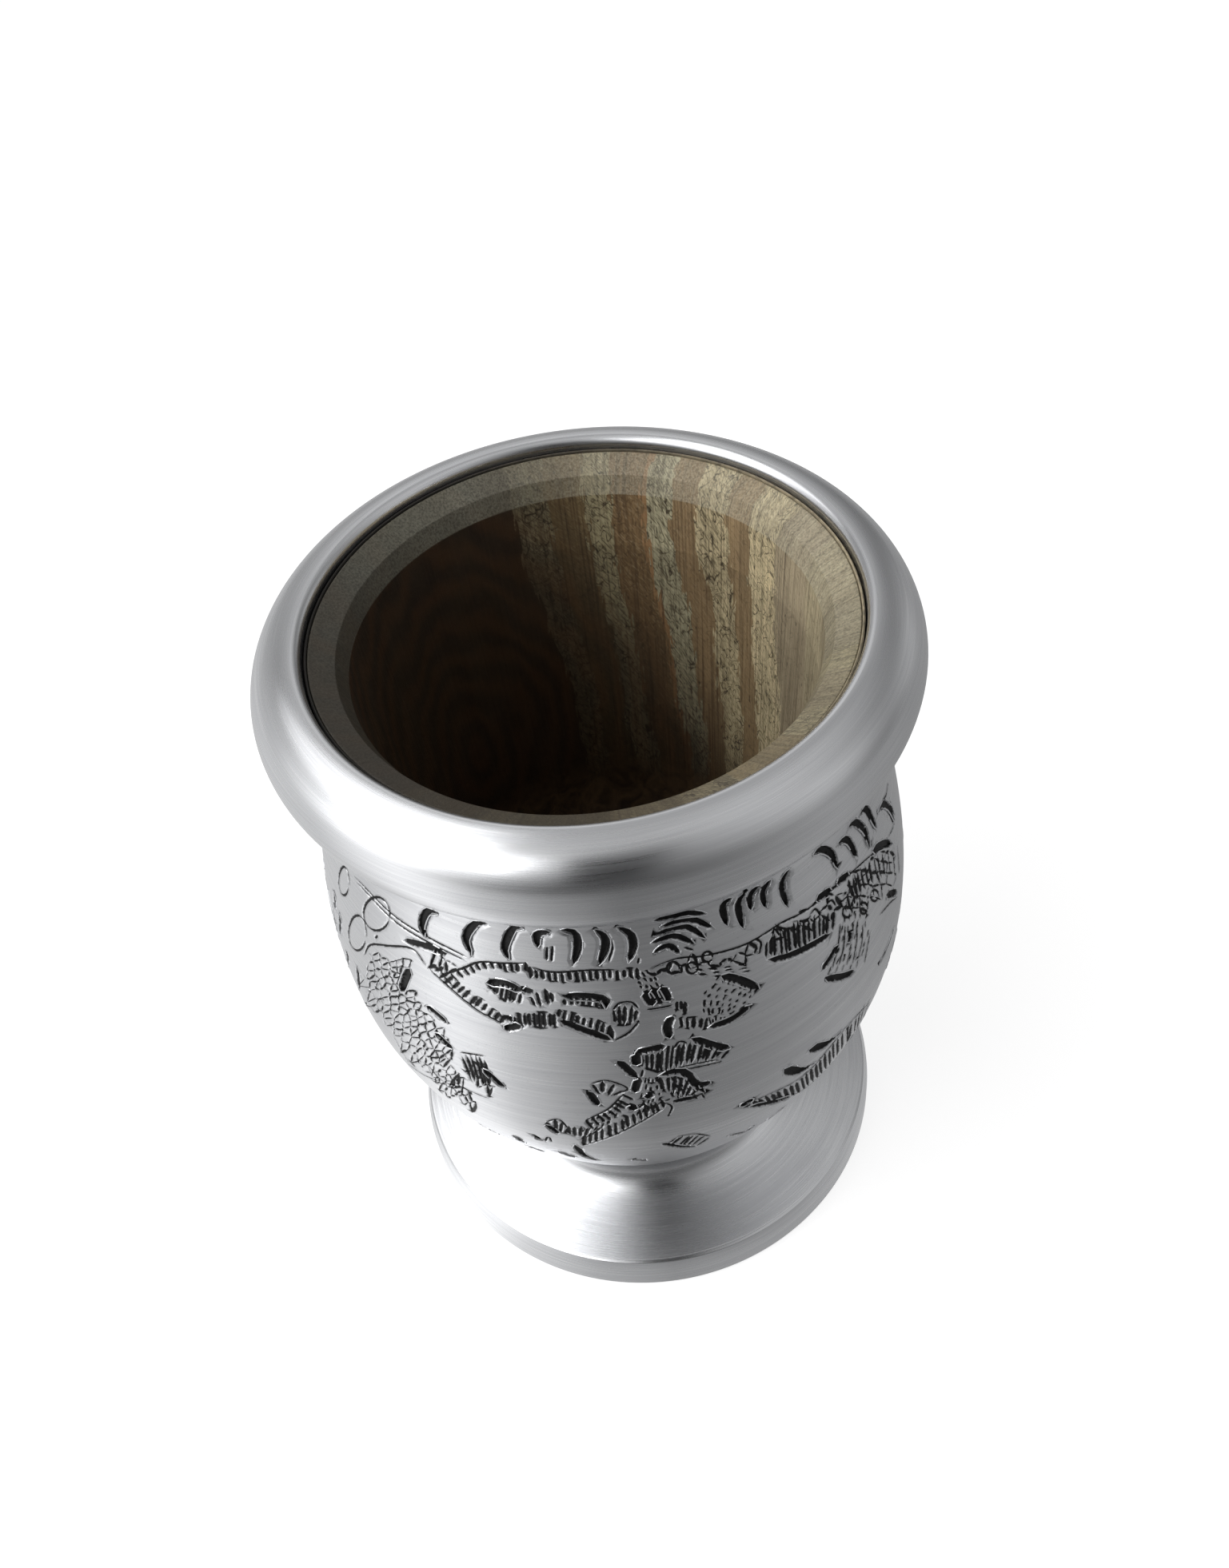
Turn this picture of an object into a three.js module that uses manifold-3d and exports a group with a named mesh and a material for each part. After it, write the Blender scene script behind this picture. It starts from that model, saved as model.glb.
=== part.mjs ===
// Mate cup: a turned wooden bowl in a turned aluminium barrel, with a round rim and a flared foot.
// Millimetres, +Z up. The origin is the centre of the foot's underside, and the axis is Z.
// Every piece is a section of radius against height, turned around that axis.

import * as THREE from 'three';
import Module from 'manifold-3d';

// Overall
const CUP_HEIGHT = 111.5;
const SEAT_GAP = 0.3; // between two pieces that touch or slide together
const FACETS = 48; // sides of a turned piece
const CURVE_STEPS = 8; // straight steps along one curve of a section

// Rim ring
const MOUTH_RADIUS = 35.0;
const RIM_WIDTH = 7.5; // from the mouth's edge to the outside
const RIM_BEAD_RADIUS = 6.85;
const RIM_UNDERCUT = 0.3; // flat turned off the bead's underside
const RIM_LIP_HEIGHT = 8.2; // from the crown down to the step over the barrel's spigot

// Barrel
const SHELL_WALL = 2.0;
const SHELL_FLOOR = 2.5;
const BELLY_RADIUS = 41.9;
const BELLY_HEIGHT = 61.0; // of the widest place above the table
const BELLY_EASE_UP = 13.0; // how far the belly stays upright, above and below
const BELLY_EASE_DOWN = 13.0;
const NECK_SET_OUT = 0.95; // the neck's outside beyond the mouth's edge
const NECK_LEAN_OUT = 2.2; // the way the wall leaves the neck
const NECK_LEAN_DOWN = 9.5;
const BASE_RADIUS = 26.2; // on top of the foot
const BASE_LEAN_OUT = 12.7; // the way the wall leaves the base
const BASE_LEAN_UP = 23.9;
const SPIGOT_STEP = 0.55; // shoulder under the rim

// Wooden bowl
const WOOD_DROP = 1.5; // from the crown down to the wood
const UPPER_BEVEL_WIDTH = 3.5;
const UPPER_BEVEL_DEPTH = 1.9;
const LOWER_BEVEL_WIDTH = 1.2;
const LOWER_BEVEL_DEPTH = 2.5;
const LINER_WALL = 6.65; // where the straight wall turns into the round bottom
const LINER_FLOOR = 14.4;
const BOWL_ROUND_HEIGHT = 22.0; // height of the round bottom
const BOWL_ROUND_SIDE = 14.7; // how far the wall stays upright in it
const BOWL_ROUND_CORNER = 10.0; // how far from the wall the floor starts to rise
const LINER_TAPER_HEIGHT = 26.0; // lower cone of the outside
const LINER_CHAMFER = 1.0;

// Sealing ring
const SEAL_WIDTH = 0.75;
const SEAL_HEIGHT = 2.0;

// Foot
const FOOT_HEIGHT = 16.0;
const FOOT_RADIUS = 39.0;
const BAND_HEIGHT = 3.6; // straight part of the base band
const BAND_EDGE = 0.8; // round at the table
const GROOVE_HEIGHT = 6.6;
const GROOVE_WIDTH = 0.8;
const GROOVE_DEPTH = 0.7;
const FLARE_SET_BACK = 0.7; // sharp edge over the groove, behind the band
const FLARE_EASE = 11.5; // handles of the concave flare, at its edge and at the waist
const FLARE_RISE = 1.9;
const WAIST_EASE = 3.6;
const WAIST_DEPTH = 0.5; // behind the top of the neck
const NECK_HEIGHT = 1.6; // from the waist up to the top
const NECK_SET_BACK = 0.8; // top of the neck behind the barrel's base
const REGISTER_RADIUS = 8.0; // boss that centres the barrel on the foot
const BASE_RING_WIDTH = 6.0; // around the hollow underside
const RECESS_DEPTH = 8.0;
const RECESS_DRAFT = 1.2;
const RECESS_WALL_HEIGHT = 4.6;
const RECESS_CEILING_RADIUS = 20.0;

// Screw and washer
const SCREW_RADIUS = 2.0;
const SCREW_COVER = 4.4; // wood left over its end
const SCREW_TIP = 1.2; // chamfer at the end
const SCREW_HEAD_RADIUS = 4.0;
const SCREW_HEAD_HEIGHT = 2.6;
const SCREW_HEAD_ROUND = 0.9;
const SCREW_FACETS = 24;
const SLOT_WIDTH = 1.2;
const SLOT_DEPTH = 1.3;
const WASHER_RADIUS = 5.6;
const WASHER_THICKNESS = 1.0;

// Places that two pieces share
const beadRadius = MOUTH_RADIUS + RIM_WIDTH - RIM_BEAD_RADIUS; // centre of the bead's section
const beadHeight = CUP_HEIGHT - RIM_BEAD_RADIUS;
const rimUnderside = beadHeight - RIM_BEAD_RADIUS + RIM_UNDERCUT;
const rimStep = CUP_HEIGHT - RIM_LIP_HEIGHT;
const neckRadius = MOUTH_RADIUS + NECK_SET_OUT;
const neckHeight = rimUnderside - SEAT_GAP;
const spigotRadius = neckRadius - SPIGOT_STEP;
const spigotTop = rimStep - SEAT_GAP;
const spigotBore = neckRadius - SHELL_WALL;
const shellUnderside = FOOT_HEIGHT + SEAT_GAP;
const shellFloor = shellUnderside + SHELL_FLOOR;
const shellFloorRadius = BASE_RADIUS - SHELL_WALL;
const collarRadius = MOUTH_RADIUS - SEAT_GAP;
const linerRadius = spigotBore - SEAT_GAP;
const linerUnderside = shellFloor + SEAT_GAP;
const bowlFloor = linerUnderside + LINER_FLOOR;
const sealTop = CUP_HEIGHT - WOOD_DROP;
const sealUnderside = sealTop - SEAL_HEIGHT;
const sealBore = collarRadius - SEAL_WIDTH;
const screwHeadTop = RECESS_DEPTH + SEAT_GAP + SCREW_HEAD_HEIGHT;
const washerUnderside = screwHeadTop + SEAT_GAP;
const washerTop = washerUnderside + WASHER_THICKNESS;
const screwHoleRadius = SCREW_RADIUS + SEAT_GAP;
const screwTop = bowlFloor - SCREW_COVER;

// A closed section, turned around Z
function turned(section, facets = FACETS) {
  const geometry = new THREE.LatheGeometry(section, facets);
  geometry.rotateX(Math.PI / 2);
  return geometry;
}

// A path through corners given as pairs of radius and height
function cornered(corners) {
  const path = new THREE.Path();
  path.moveTo(...corners[0]);
  corners.slice(1).forEach((corner) => path.lineTo(...corner));
  return path;
}

// The barrel's outside, from its base up to the neck
function barrelCurves() {
  const base = new THREE.Vector2(BASE_RADIUS, shellUnderside);
  const overBase = new THREE.Vector2(BASE_RADIUS + BASE_LEAN_OUT, shellUnderside + BASE_LEAN_UP);
  const underBelly = new THREE.Vector2(BELLY_RADIUS, BELLY_HEIGHT - BELLY_EASE_DOWN);
  const belly = new THREE.Vector2(BELLY_RADIUS, BELLY_HEIGHT);
  const overBelly = new THREE.Vector2(BELLY_RADIUS, BELLY_HEIGHT + BELLY_EASE_UP);
  const underNeck = new THREE.Vector2(neckRadius + NECK_LEAN_OUT, neckHeight - NECK_LEAN_DOWN);
  const neck = new THREE.Vector2(neckRadius, neckHeight);
  return [
    new THREE.CubicBezierCurve(base, overBase, underBelly, belly),
    new THREE.CubicBezierCurve(belly, overBelly, underNeck, neck),
  ];
}

// Points on a rising curve, moved towards the axis by a wall's thickness
function innerWall(curve, wall) {
  const points = [];
  for (let step = 0; step <= CURVE_STEPS; step += 1) {
    const along = curve.getTangent(step / CURVE_STEPS);
    const inward = new THREE.Vector2(-along.y, along.x);
    points.push(curve.getPoint(step / CURVE_STEPS).addScaledVector(inward, wall));
  }
  return points;
}

function rimRing() {
  const undersideAngle = Math.asin((rimUnderside - beadHeight) / RIM_BEAD_RADIUS);
  const mouthAngle = Math.acos((MOUTH_RADIUS - beadRadius) / RIM_BEAD_RADIUS);
  const boreRadius = spigotRadius + SEAT_GAP;
  const section = cornered([[boreRadius, rimUnderside]]);
  section.absarc(beadRadius, beadHeight, RIM_BEAD_RADIUS, undersideAngle, mouthAngle, false);
  section.lineTo(MOUTH_RADIUS, rimStep);
  section.lineTo(boreRadius, rimStep);
  section.closePath();
  return turned(section.getPoints(CURVE_STEPS));
}

function mouthSeal() {
  const section = cornered([
    [sealBore, sealUnderside],
    [collarRadius, sealUnderside],
    [collarRadius, sealTop],
    [sealBore, sealTop],
  ]);
  section.closePath();
  return turned(section.getPoints());
}

function bodyShell() {
  const [lower, upper] = barrelCurves();
  const outside = [...lower.getPoints(CURVE_STEPS), ...upper.getPoints(CURVE_STEPS).slice(1)];
  const inside = [...innerWall(lower, SHELL_WALL), ...innerWall(upper, SHELL_WALL).slice(1)];
  const registerHole = REGISTER_RADIUS + SEAT_GAP;
  const start = new THREE.Vector2(registerHole, shellUnderside);
  return turned([
    start,
    ...outside,
    new THREE.Vector2(spigotRadius, neckHeight),
    new THREE.Vector2(spigotRadius, spigotTop),
    new THREE.Vector2(spigotBore, spigotTop),
    ...inside.filter((point) => point.y > shellFloor).reverse(),
    new THREE.Vector2(shellFloorRadius, shellFloor),
    new THREE.Vector2(registerHole, shellFloor),
    start,
  ]);
}

function woodLiner() {
  const pilotTop = screwTop + SEAT_GAP;
  const rebateRadius = sealBore - SEAT_GAP;
  const rebateFloor = sealUnderside - SEAT_GAP;
  const upperBevelRadius = collarRadius - UPPER_BEVEL_WIDTH;
  const upperBevelHeight = sealTop - UPPER_BEVEL_DEPTH;
  const bevelSlope = UPPER_BEVEL_DEPTH / UPPER_BEVEL_WIDTH;
  const bevelStart = upperBevelHeight + bevelSlope * (rebateRadius - upperBevelRadius);
  const lowerBevelRadius = upperBevelRadius - LOWER_BEVEL_WIDTH;
  const bowlRadius = linerRadius - LINER_WALL;
  const bowlRoundTop = bowlFloor + BOWL_ROUND_HEIGHT;
  const section = cornered([
    [0, pilotTop],
    [screwHoleRadius, pilotTop],
    [screwHoleRadius, linerUnderside],
    [shellFloorRadius - LINER_CHAMFER, linerUnderside],
    [shellFloorRadius, linerUnderside + LINER_CHAMFER],
    [linerRadius, linerUnderside + LINER_TAPER_HEIGHT],
    [linerRadius, rimStep],
    [collarRadius, rimStep],
    [collarRadius, rebateFloor],
    [rebateRadius, rebateFloor],
    [rebateRadius, bevelStart],
    [upperBevelRadius, upperBevelHeight],
    [lowerBevelRadius, upperBevelHeight - LOWER_BEVEL_DEPTH],
    [bowlRadius, bowlRoundTop],
  ]);
  section.bezierCurveTo(
    bowlRadius, bowlRoundTop - BOWL_ROUND_SIDE,
    bowlRadius - BOWL_ROUND_CORNER, bowlFloor,
    0, bowlFloor,
  );
  return turned(section.getPoints(CURVE_STEPS));
}

function foot() {
  const recessRadius = FOOT_RADIUS - BASE_RING_WIDTH;
  const flareRadius = FOOT_RADIUS - FLARE_SET_BACK;
  const flareHeight = GROOVE_HEIGHT + GROOVE_WIDTH;
  const neckTopRadius = BASE_RADIUS - NECK_SET_BACK;
  const waistRadius = neckTopRadius - WAIST_DEPTH;
  const waistHeight = FOOT_HEIGHT - NECK_HEIGHT;
  const counterboreRadius = WASHER_RADIUS + SEAT_GAP;
  const counterboreTop = washerTop + SEAT_GAP;
  const section = cornered([
    [screwHoleRadius, counterboreTop],
    [counterboreRadius, counterboreTop],
    [counterboreRadius, RECESS_DEPTH],
    [RECESS_CEILING_RADIUS, RECESS_DEPTH],
    [recessRadius - RECESS_DRAFT, RECESS_WALL_HEIGHT],
    [recessRadius, 0],
    [FOOT_RADIUS - BAND_EDGE, 0],
    [FOOT_RADIUS, BAND_EDGE],
    [FOOT_RADIUS, BAND_HEIGHT],
  ]);
  section.quadraticCurveTo(FOOT_RADIUS, GROOVE_HEIGHT - GROOVE_WIDTH, flareRadius, GROOVE_HEIGHT);
  section.lineTo(flareRadius - GROOVE_DEPTH, GROOVE_HEIGHT + GROOVE_WIDTH / 2);
  section.lineTo(flareRadius, flareHeight);
  section.bezierCurveTo(
    flareRadius - FLARE_EASE, flareHeight + FLARE_RISE,
    waistRadius, waistHeight - WAIST_EASE,
    waistRadius, waistHeight,
  );
  section.lineTo(neckTopRadius, FOOT_HEIGHT);
  section.lineTo(REGISTER_RADIUS, FOOT_HEIGHT);
  section.lineTo(REGISTER_RADIUS, FOOT_HEIGHT + SHELL_FLOOR);
  section.lineTo(screwHoleRadius, FOOT_HEIGHT + SHELL_FLOOR);
  section.closePath();
  return turned(section.getPoints(CURVE_STEPS));
}

function footWasher() {
  const section = cornered([
    [screwHoleRadius, washerUnderside],
    [WASHER_RADIUS, washerUnderside],
    [WASHER_RADIUS, washerTop],
    [screwHoleRadius, washerTop],
  ]);
  section.closePath();
  return turned(section.getPoints(), SCREW_FACETS);
}

// Closed geometry to a solid for cutting, and back
const wasm = await Module();
wasm.setup();

function toSolid(geometry) {
  const positions = geometry.getAttribute('position');
  const corners = geometry.index ? [...geometry.index.array] : [...Array(positions.count).keys()];
  const mesh = new wasm.Mesh({
    numProp: 3,
    vertProperties: new Float32Array(positions.array),
    triVerts: new Uint32Array(corners),
  });
  mesh.merge();
  return new wasm.Manifold(mesh);
}

function toGeometry(solid) {
  const mesh = solid.getMesh();
  const geometry = new THREE.BufferGeometry();
  geometry.setAttribute('position', new THREE.BufferAttribute(mesh.vertProperties, 3));
  geometry.setIndex(new THREE.BufferAttribute(mesh.triVerts, 1));
  geometry.computeVertexNormals();
  return geometry;
}

function footScrew() {
  const headFace = screwHeadTop - SCREW_HEAD_HEIGHT;
  const section = cornered([
    [0, headFace],
    [SCREW_HEAD_RADIUS - SCREW_HEAD_ROUND, headFace],
  ]);
  section.quadraticCurveTo(SCREW_HEAD_RADIUS, headFace, SCREW_HEAD_RADIUS, headFace + SCREW_HEAD_ROUND);
  section.lineTo(SCREW_HEAD_RADIUS, screwHeadTop);
  section.lineTo(SCREW_RADIUS, screwHeadTop);
  section.lineTo(SCREW_RADIUS, screwTop - SCREW_TIP);
  section.lineTo(SCREW_RADIUS - SCREW_TIP, screwTop);
  section.lineTo(0, screwTop);
  const blank = turned(section.getPoints(CURVE_STEPS), SCREW_FACETS);
  const slot = new THREE.BoxGeometry(4 * SCREW_HEAD_RADIUS, SLOT_WIDTH, 2 * SLOT_DEPTH);
  slot.translate(0, 0, headFace);
  return toGeometry(toSolid(blank).subtract(toSolid(slot)));
}

// Finishes
const satinAluminium = { color: 0xb4b6b9, roughness: 0.34, metalness: 1.0 };
const oliveWood = { color: 0x5a4e3a, roughness: 0.8, metalness: 0.0 };
const darkSeal = { color: 0x1d1b19, roughness: 0.7, metalness: 0.0 };
const steel = { color: 0x8f9194, roughness: 0.4, metalness: 1.0 };

const pieces = [
  ['rim_ring', rimRing(), satinAluminium],
  ['mouth_seal', mouthSeal(), darkSeal],
  ['wood_liner', woodLiner(), oliveWood],
  ['body_shell', bodyShell(), satinAluminium],
  ['foot', foot(), satinAluminium],
  ['foot_screw', footScrew(), steel],
  ['foot_washer', footWasher(), steel],
];

const cup = new THREE.Group();
cup.name = 'mate_cup';
for (const [name, geometry, finish] of pieces) {
  const piece = new THREE.Mesh(geometry, new THREE.MeshStandardMaterial(finish));
  piece.name = name;
  cup.add(piece);
}

export default cup;
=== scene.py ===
"""Looks of a footed mate cup: a wooden bowl in a chiselled aluminium barrel, on a flared foot."""
import math

import bpy
import numpy as np
from mathutils import Matrix, Vector
from mathutils.geometry import delaunay_2d_cdt


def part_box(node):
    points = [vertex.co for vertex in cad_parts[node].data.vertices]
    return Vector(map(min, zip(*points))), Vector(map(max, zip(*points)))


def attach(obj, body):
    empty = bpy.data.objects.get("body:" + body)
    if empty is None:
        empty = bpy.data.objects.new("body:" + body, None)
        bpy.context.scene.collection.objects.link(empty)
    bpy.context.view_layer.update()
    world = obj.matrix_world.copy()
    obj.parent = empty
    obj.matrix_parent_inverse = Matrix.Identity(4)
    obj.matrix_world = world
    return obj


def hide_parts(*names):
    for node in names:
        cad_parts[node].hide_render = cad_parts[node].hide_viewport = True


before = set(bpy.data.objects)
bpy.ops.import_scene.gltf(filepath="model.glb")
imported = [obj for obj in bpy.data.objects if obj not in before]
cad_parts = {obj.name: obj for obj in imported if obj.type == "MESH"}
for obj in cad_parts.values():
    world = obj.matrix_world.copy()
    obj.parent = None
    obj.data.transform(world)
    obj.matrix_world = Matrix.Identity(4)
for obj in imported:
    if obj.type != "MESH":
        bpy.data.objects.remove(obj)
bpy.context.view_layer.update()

# Units and fineness of the turned pieces
MM = 0.001
FACETS = 192
CURVE_STEPS = 28
LIP_STEPS = 10
BOWL_STEPS = 24
BARREL_STEPS = 60
ROUND_STEPS = 4
# Radius in mm at which the turning map is true to length, and the length of one turn there
REFERENCE_RADIUS = 38.0
GIRTH = 2.0 * math.pi * REFERENCE_RADIUS

# Sizes in mm, the same as the solids'
RIM_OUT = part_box("rim_ring")[1][0] / MM
RIM_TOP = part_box("rim_ring")[1][2] / MM
RIM_UNDERSIDE = 98.1
BEAD_CENTRE_Z = 104.65
BEAD_RADIUS = RIM_TOP - BEAD_CENTRE_Z
BEAD_CENTRE_R = RIM_OUT - BEAD_RADIUS
MOUTH_RADIUS = 35.0
MOUTH_Z = 111.5
LIP_RADIUS = 1.1
RIM_BORE = 35.7
RIM_STEP_Z = 103.3
BARREL_FOOT = (26.2, 16.3)
BARREL_BELLY = (41.9, 61.0)
BARREL_NECK = (35.95, 97.8)
BARREL_LOWER = (BARREL_FOOT, (38.9, 40.2), (41.9, 48.0), BARREL_BELLY)
BARREL_UPPER = (BARREL_BELLY, (41.9, 74.0), (38.15, 88.3), BARREL_NECK)
BARREL_WALL = 2.0
SPIGOT_RADIUS = 35.4
SPIGOT_TOP = 103.0
SPIGOT_BORE = 33.95
BARREL_FLOOR_TOP = 18.8
BARREL_FLOOR_EDGE = 24.2
BARREL_HOLE = 8.3
SCREW_HOLE = 2.3

# Sections as (radius, height) points in mm, which run anticlockwise

# A thin bead of compound that shows as a dark line beside the metal
SEAL_SECTION = [(34.42, 107.95), (34.75, 107.95), (34.75, 109.75), (34.6, 110.0), (34.42, 109.9)]
WASHER_SECTION = [(SCREW_HOLE, 11.2), (5.6, 11.2), (5.6, 12.2), (SCREW_HOLE, 12.2)]
# The bowl's pilot hole, underside, cone, straight outside, collar and rebate
BOWL_OUTSIDE = [(0.0, 29.4), (SCREW_HOLE, 29.4), (SCREW_HOLE, 19.1), (23.2, 19.1), (24.2, 20.1),
                (33.65, 45.1), (33.65, RIM_STEP_Z), (34.7, RIM_STEP_Z), (34.7, 107.7), (34.38, 107.7)]
# The bowl's two bevels, and its round bottom's curve
BEVEL_TOP = (34.38, 109.82)
BEVEL_MIDDLE = (31.2, 108.1)
BEVEL_FOOT = (30.0, 105.6)
BOWL_BOTTOM = ((27.0, 55.5), (27.0, 40.8), (17.0, 33.5), (0.0, 33.5))
# The pedestal's screw hole, counterbore, hollow underside, base band and groove
FOOT_BASE = [(SCREW_HOLE, 18.5), (SCREW_HOLE, 12.5), (5.9, 12.5), (5.9, 8.0), (20.0, 8.0), (31.8, 4.6),
             (33.0, 0.0), (38.2, 0.0), (39.0, 0.8), (39.0, 3.6), (38.85, 5.0), (38.3, 6.6), (37.6, 7.0)]
# The pedestal's flare up to the waist, and its boss
FOOT_FLARE = ((38.3, 7.4), (26.8, 9.3), (24.9, 10.8), (24.9, 14.4))
FOOT_BOSS = [(25.4, 16.0), (8.0, 16.0), (8.0, 18.5)]

# Rounding of corners: the sharpest turn left alone in radians, and the most of a side that it takes
SHARPEST_TURN = 0.35
CORNER_SHARE = 0.45
# Radius in mm under which a point lies on the axis
ON_AXIS = 1e-6


# Turned sections

def bezier(a, b, c, d, steps=CURVE_STEPS):
    """Points of a cubic curve from a to d, without a itself."""
    points = []
    for i in range(1, steps + 1):
        t = i / steps
        s = 1.0 - t
        weights = (s ** 3, 3.0 * s * s * t, 3.0 * s * t * t, t ** 3)
        points.append(tuple(sum(w * p[k] for w, p in zip(weights, (a, b, c, d))) for k in (0, 1)))
    return points


def arc(centre, radius, start, end, steps=CURVE_STEPS):
    """Points of an arc between two angles in degrees, both ends included."""
    angles = (math.radians(start + (end - start) * i / steps) for i in range(steps + 1))
    return [(centre[0] + radius * math.cos(a), centre[1] + radius * math.sin(a)) for a in angles]


def between(a, b, shares):
    """Points of the straight line from a to b, at shares of its length."""
    return [(a[0] + (b[0] - a[0]) * t, a[1] + (b[1] - a[1]) * t) for t in shares]


def softened(section, radius):
    """The section with each of its sharp corners rounded off."""
    points = [Vector(p) for p in section]
    soft = []
    for i, corner in enumerate(points):
        before = points[i - 1] - corner
        after = points[(i + 1) % len(points)] - corner
        turn = math.pi - before.angle(after)
        if corner.x < ON_AXIS or turn < SHARPEST_TURN:
            soft.append(tuple(corner))
            continue
        reach = min(radius * math.tan(turn / 2.0), CORNER_SHARE * before.length, CORNER_SHARE * after.length)
        start = corner + before.normalized() * reach
        end = corner + after.normalized() * reach
        for k in range(ROUND_STEPS + 1):
            t = k / ROUND_STEPS
            soft.append(tuple(start * (1 - t) ** 2 + corner * 2 * t * (1 - t) + end * t ** 2))
    return soft


def section_normals(points, closed):
    """Outward normals of a section that runs with its material on the left."""
    points = np.array(points)
    ahead = np.roll(points, -1, axis=0) - points
    if not closed:
        ahead[-1] = ahead[-2]
    behind = np.roll(ahead, 1, axis=0)
    if not closed:
        behind[0] = ahead[0]
    slope = ahead + behind
    normals = np.column_stack([slope[:, 1], -slope[:, 0]])
    return normals / np.maximum(np.linalg.norm(normals, axis=1), 1e-9)[:, None]


def linked(name, data):
    """A new object in the scene."""
    made = bpy.data.objects.new(name, data)
    bpy.context.scene.collection.objects.link(made)
    return made


def finish_mesh(name, vertices, faces, normals, corner_uv):
    """A mesh object from mm coordinates, with its own normals and a UV map in mm."""
    mesh = bpy.data.meshes.new(name)
    mesh.from_pydata((np.asarray(vertices) * MM).tolist(), [], faces)
    layer = mesh.uv_layers.new(name="turning")
    layer.data.foreach_set("uv", np.asarray(corner_uv, dtype=np.float32).ravel())
    mesh.shade_smooth()
    mesh.normals_split_custom_set_from_vertices(np.asarray(normals).tolist())
    return linked(name, mesh)


def turned(name, section, facets=FACETS):
    """A closed section of (radius, height) points, anticlockwise, turned around Z."""
    normals_rz = section_normals(section, True)
    lengths = np.linalg.norm(np.diff(np.array(section + section[:1]), axis=0), axis=1)
    along = np.concatenate([[0.0], np.cumsum(lengths)])
    vertices, normals, rings = [], [], []
    for (radius, height), (out, up) in zip(section, normals_rz):
        if radius < ON_AXIS:
            rings.append([len(vertices)] * facets)
            vertices.append((0.0, 0.0, height))
            normals.append((0.0, 0.0, 1.0 if up > 0 else -1.0))
            continue
        rings.append(list(range(len(vertices), len(vertices) + facets)))
        for j in range(facets):
            turn = 2.0 * math.pi * j / facets
            vertices.append((radius * math.sin(turn), -radius * math.cos(turn), height))
            normals.append((out * math.sin(turn), -out * math.cos(turn), up))
    faces, corner_uv = [], []
    step = GIRTH / facets
    count = len(section)
    for i in range(count):
        low, high = rings[i], rings[(i + 1) % count]
        if low[0] == low[1] and high[0] == high[1]:
            continue
        for j in range(facets):
            k = (j + 1) % facets
            corners = [(low[j], j, along[i]), (low[k], j + 1, along[i]),
                       (high[k], j + 1, along[i + 1]), (high[j], j, along[i + 1])]
            if low[0] == low[1]:
                corners.pop(0)
            if high[0] == high[1]:
                corners.pop()
            faces.append([c[0] for c in corners])
            corner_uv.extend((c[1] * step, c[2]) for c in corners)
    return finish_mesh(name, vertices, faces, normals, corner_uv)


def rim_section():
    """The half-round bead, its rounded inner lip, the short wall in the mouth, the bore and the underside."""
    underside = math.degrees(math.asin((RIM_UNDERSIDE - BEAD_CENTRE_Z) / BEAD_RADIUS))
    inner = math.acos((MOUTH_RADIUS + LIP_RADIUS - BEAD_CENTRE_R) / BEAD_RADIUS)
    bead_centre = (BEAD_CENTRE_R, BEAD_CENTRE_Z)
    bead = arc(bead_centre, BEAD_RADIUS, underside, math.degrees(inner), 2 * CURVE_STEPS)
    lip_z = BEAD_CENTRE_Z + BEAD_RADIUS * math.sin(inner) - LIP_RADIUS
    lip = arc((MOUTH_RADIUS + LIP_RADIUS, lip_z), LIP_RADIUS, 90.0, 180.0, LIP_STEPS)[1:]
    return bead + lip + [(MOUTH_RADIUS, RIM_STEP_Z), (RIM_BORE, RIM_STEP_Z), (RIM_BORE, RIM_UNDERSIDE)]


def bowl_section():
    """The bowl's outside, its two bevels, its straight inside and its round bottom."""
    upper = between(BEVEL_TOP, BEVEL_MIDDLE, (0.0, 0.25, 0.5, 0.75, 1.0))
    lower = between(BEVEL_MIDDLE, BEVEL_FOOT, (0.33, 0.67))
    inside = between(BEVEL_FOOT, BOWL_BOTTOM[0], [i / BOWL_STEPS for i in range(BOWL_STEPS + 1)])
    return BOWL_OUTSIDE + upper + lower + inside + bezier(*BOWL_BOTTOM)


def foot_section():
    """The pedestal's base, its flare and its boss."""
    return FOOT_BASE + [FOOT_FLARE[0]] + bezier(*FOOT_FLARE) + FOOT_BOSS


# Camera at the photograph's angle

# Photo's size, focal length and the mouth's centre in pixels
PHOTO_WIDTH = 1537
PHOTO_HEIGHT = 1961
PHOTO_FOCAL = 1800.0
MOUTH_PIXEL = (725.0, 756.0)
# Distance from the mouth's centre in mm, and angles in radians
CAMERA_DISTANCE = 178.6
CAMERA_ELEVATION = 0.706
CAMERA_ROLL = -0.142
# Sensor in mm, and the nearest distance that is drawn in metres
SENSOR_SIZE = 36.0
NEAREST_SIGHT = 0.01


def photo_camera():
    """The camera's turn and place, in mm: it looks at the mouth's centre through MOUTH_PIXEL."""
    sine, cosine = math.sin(CAMERA_ELEVATION), math.cos(CAMERA_ELEVATION)
    level = Matrix(((1.0, 0.0, 0.0), (0.0, sine, -cosine), (0.0, cosine, sine)))
    aim = Vector(((MOUTH_PIXEL[0] - PHOTO_WIDTH / 2) / PHOTO_FOCAL,
                  (PHOTO_HEIGHT / 2 - MOUTH_PIXEL[1]) / PHOTO_FOCAL, -1.0))
    to_axis = aim.rotation_difference(Vector((0.0, 0.0, -1.0))).to_matrix()
    turn = level @ Matrix.Rotation(CAMERA_ROLL, 3, "Z") @ to_axis
    place = Vector((0.0, -cosine, sine)) * CAMERA_DISTANCE + Vector((0.0, 0.0, MOUTH_Z))
    return turn, place


CAMERA_TURN, CAMERA_PLACE = photo_camera()


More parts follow.
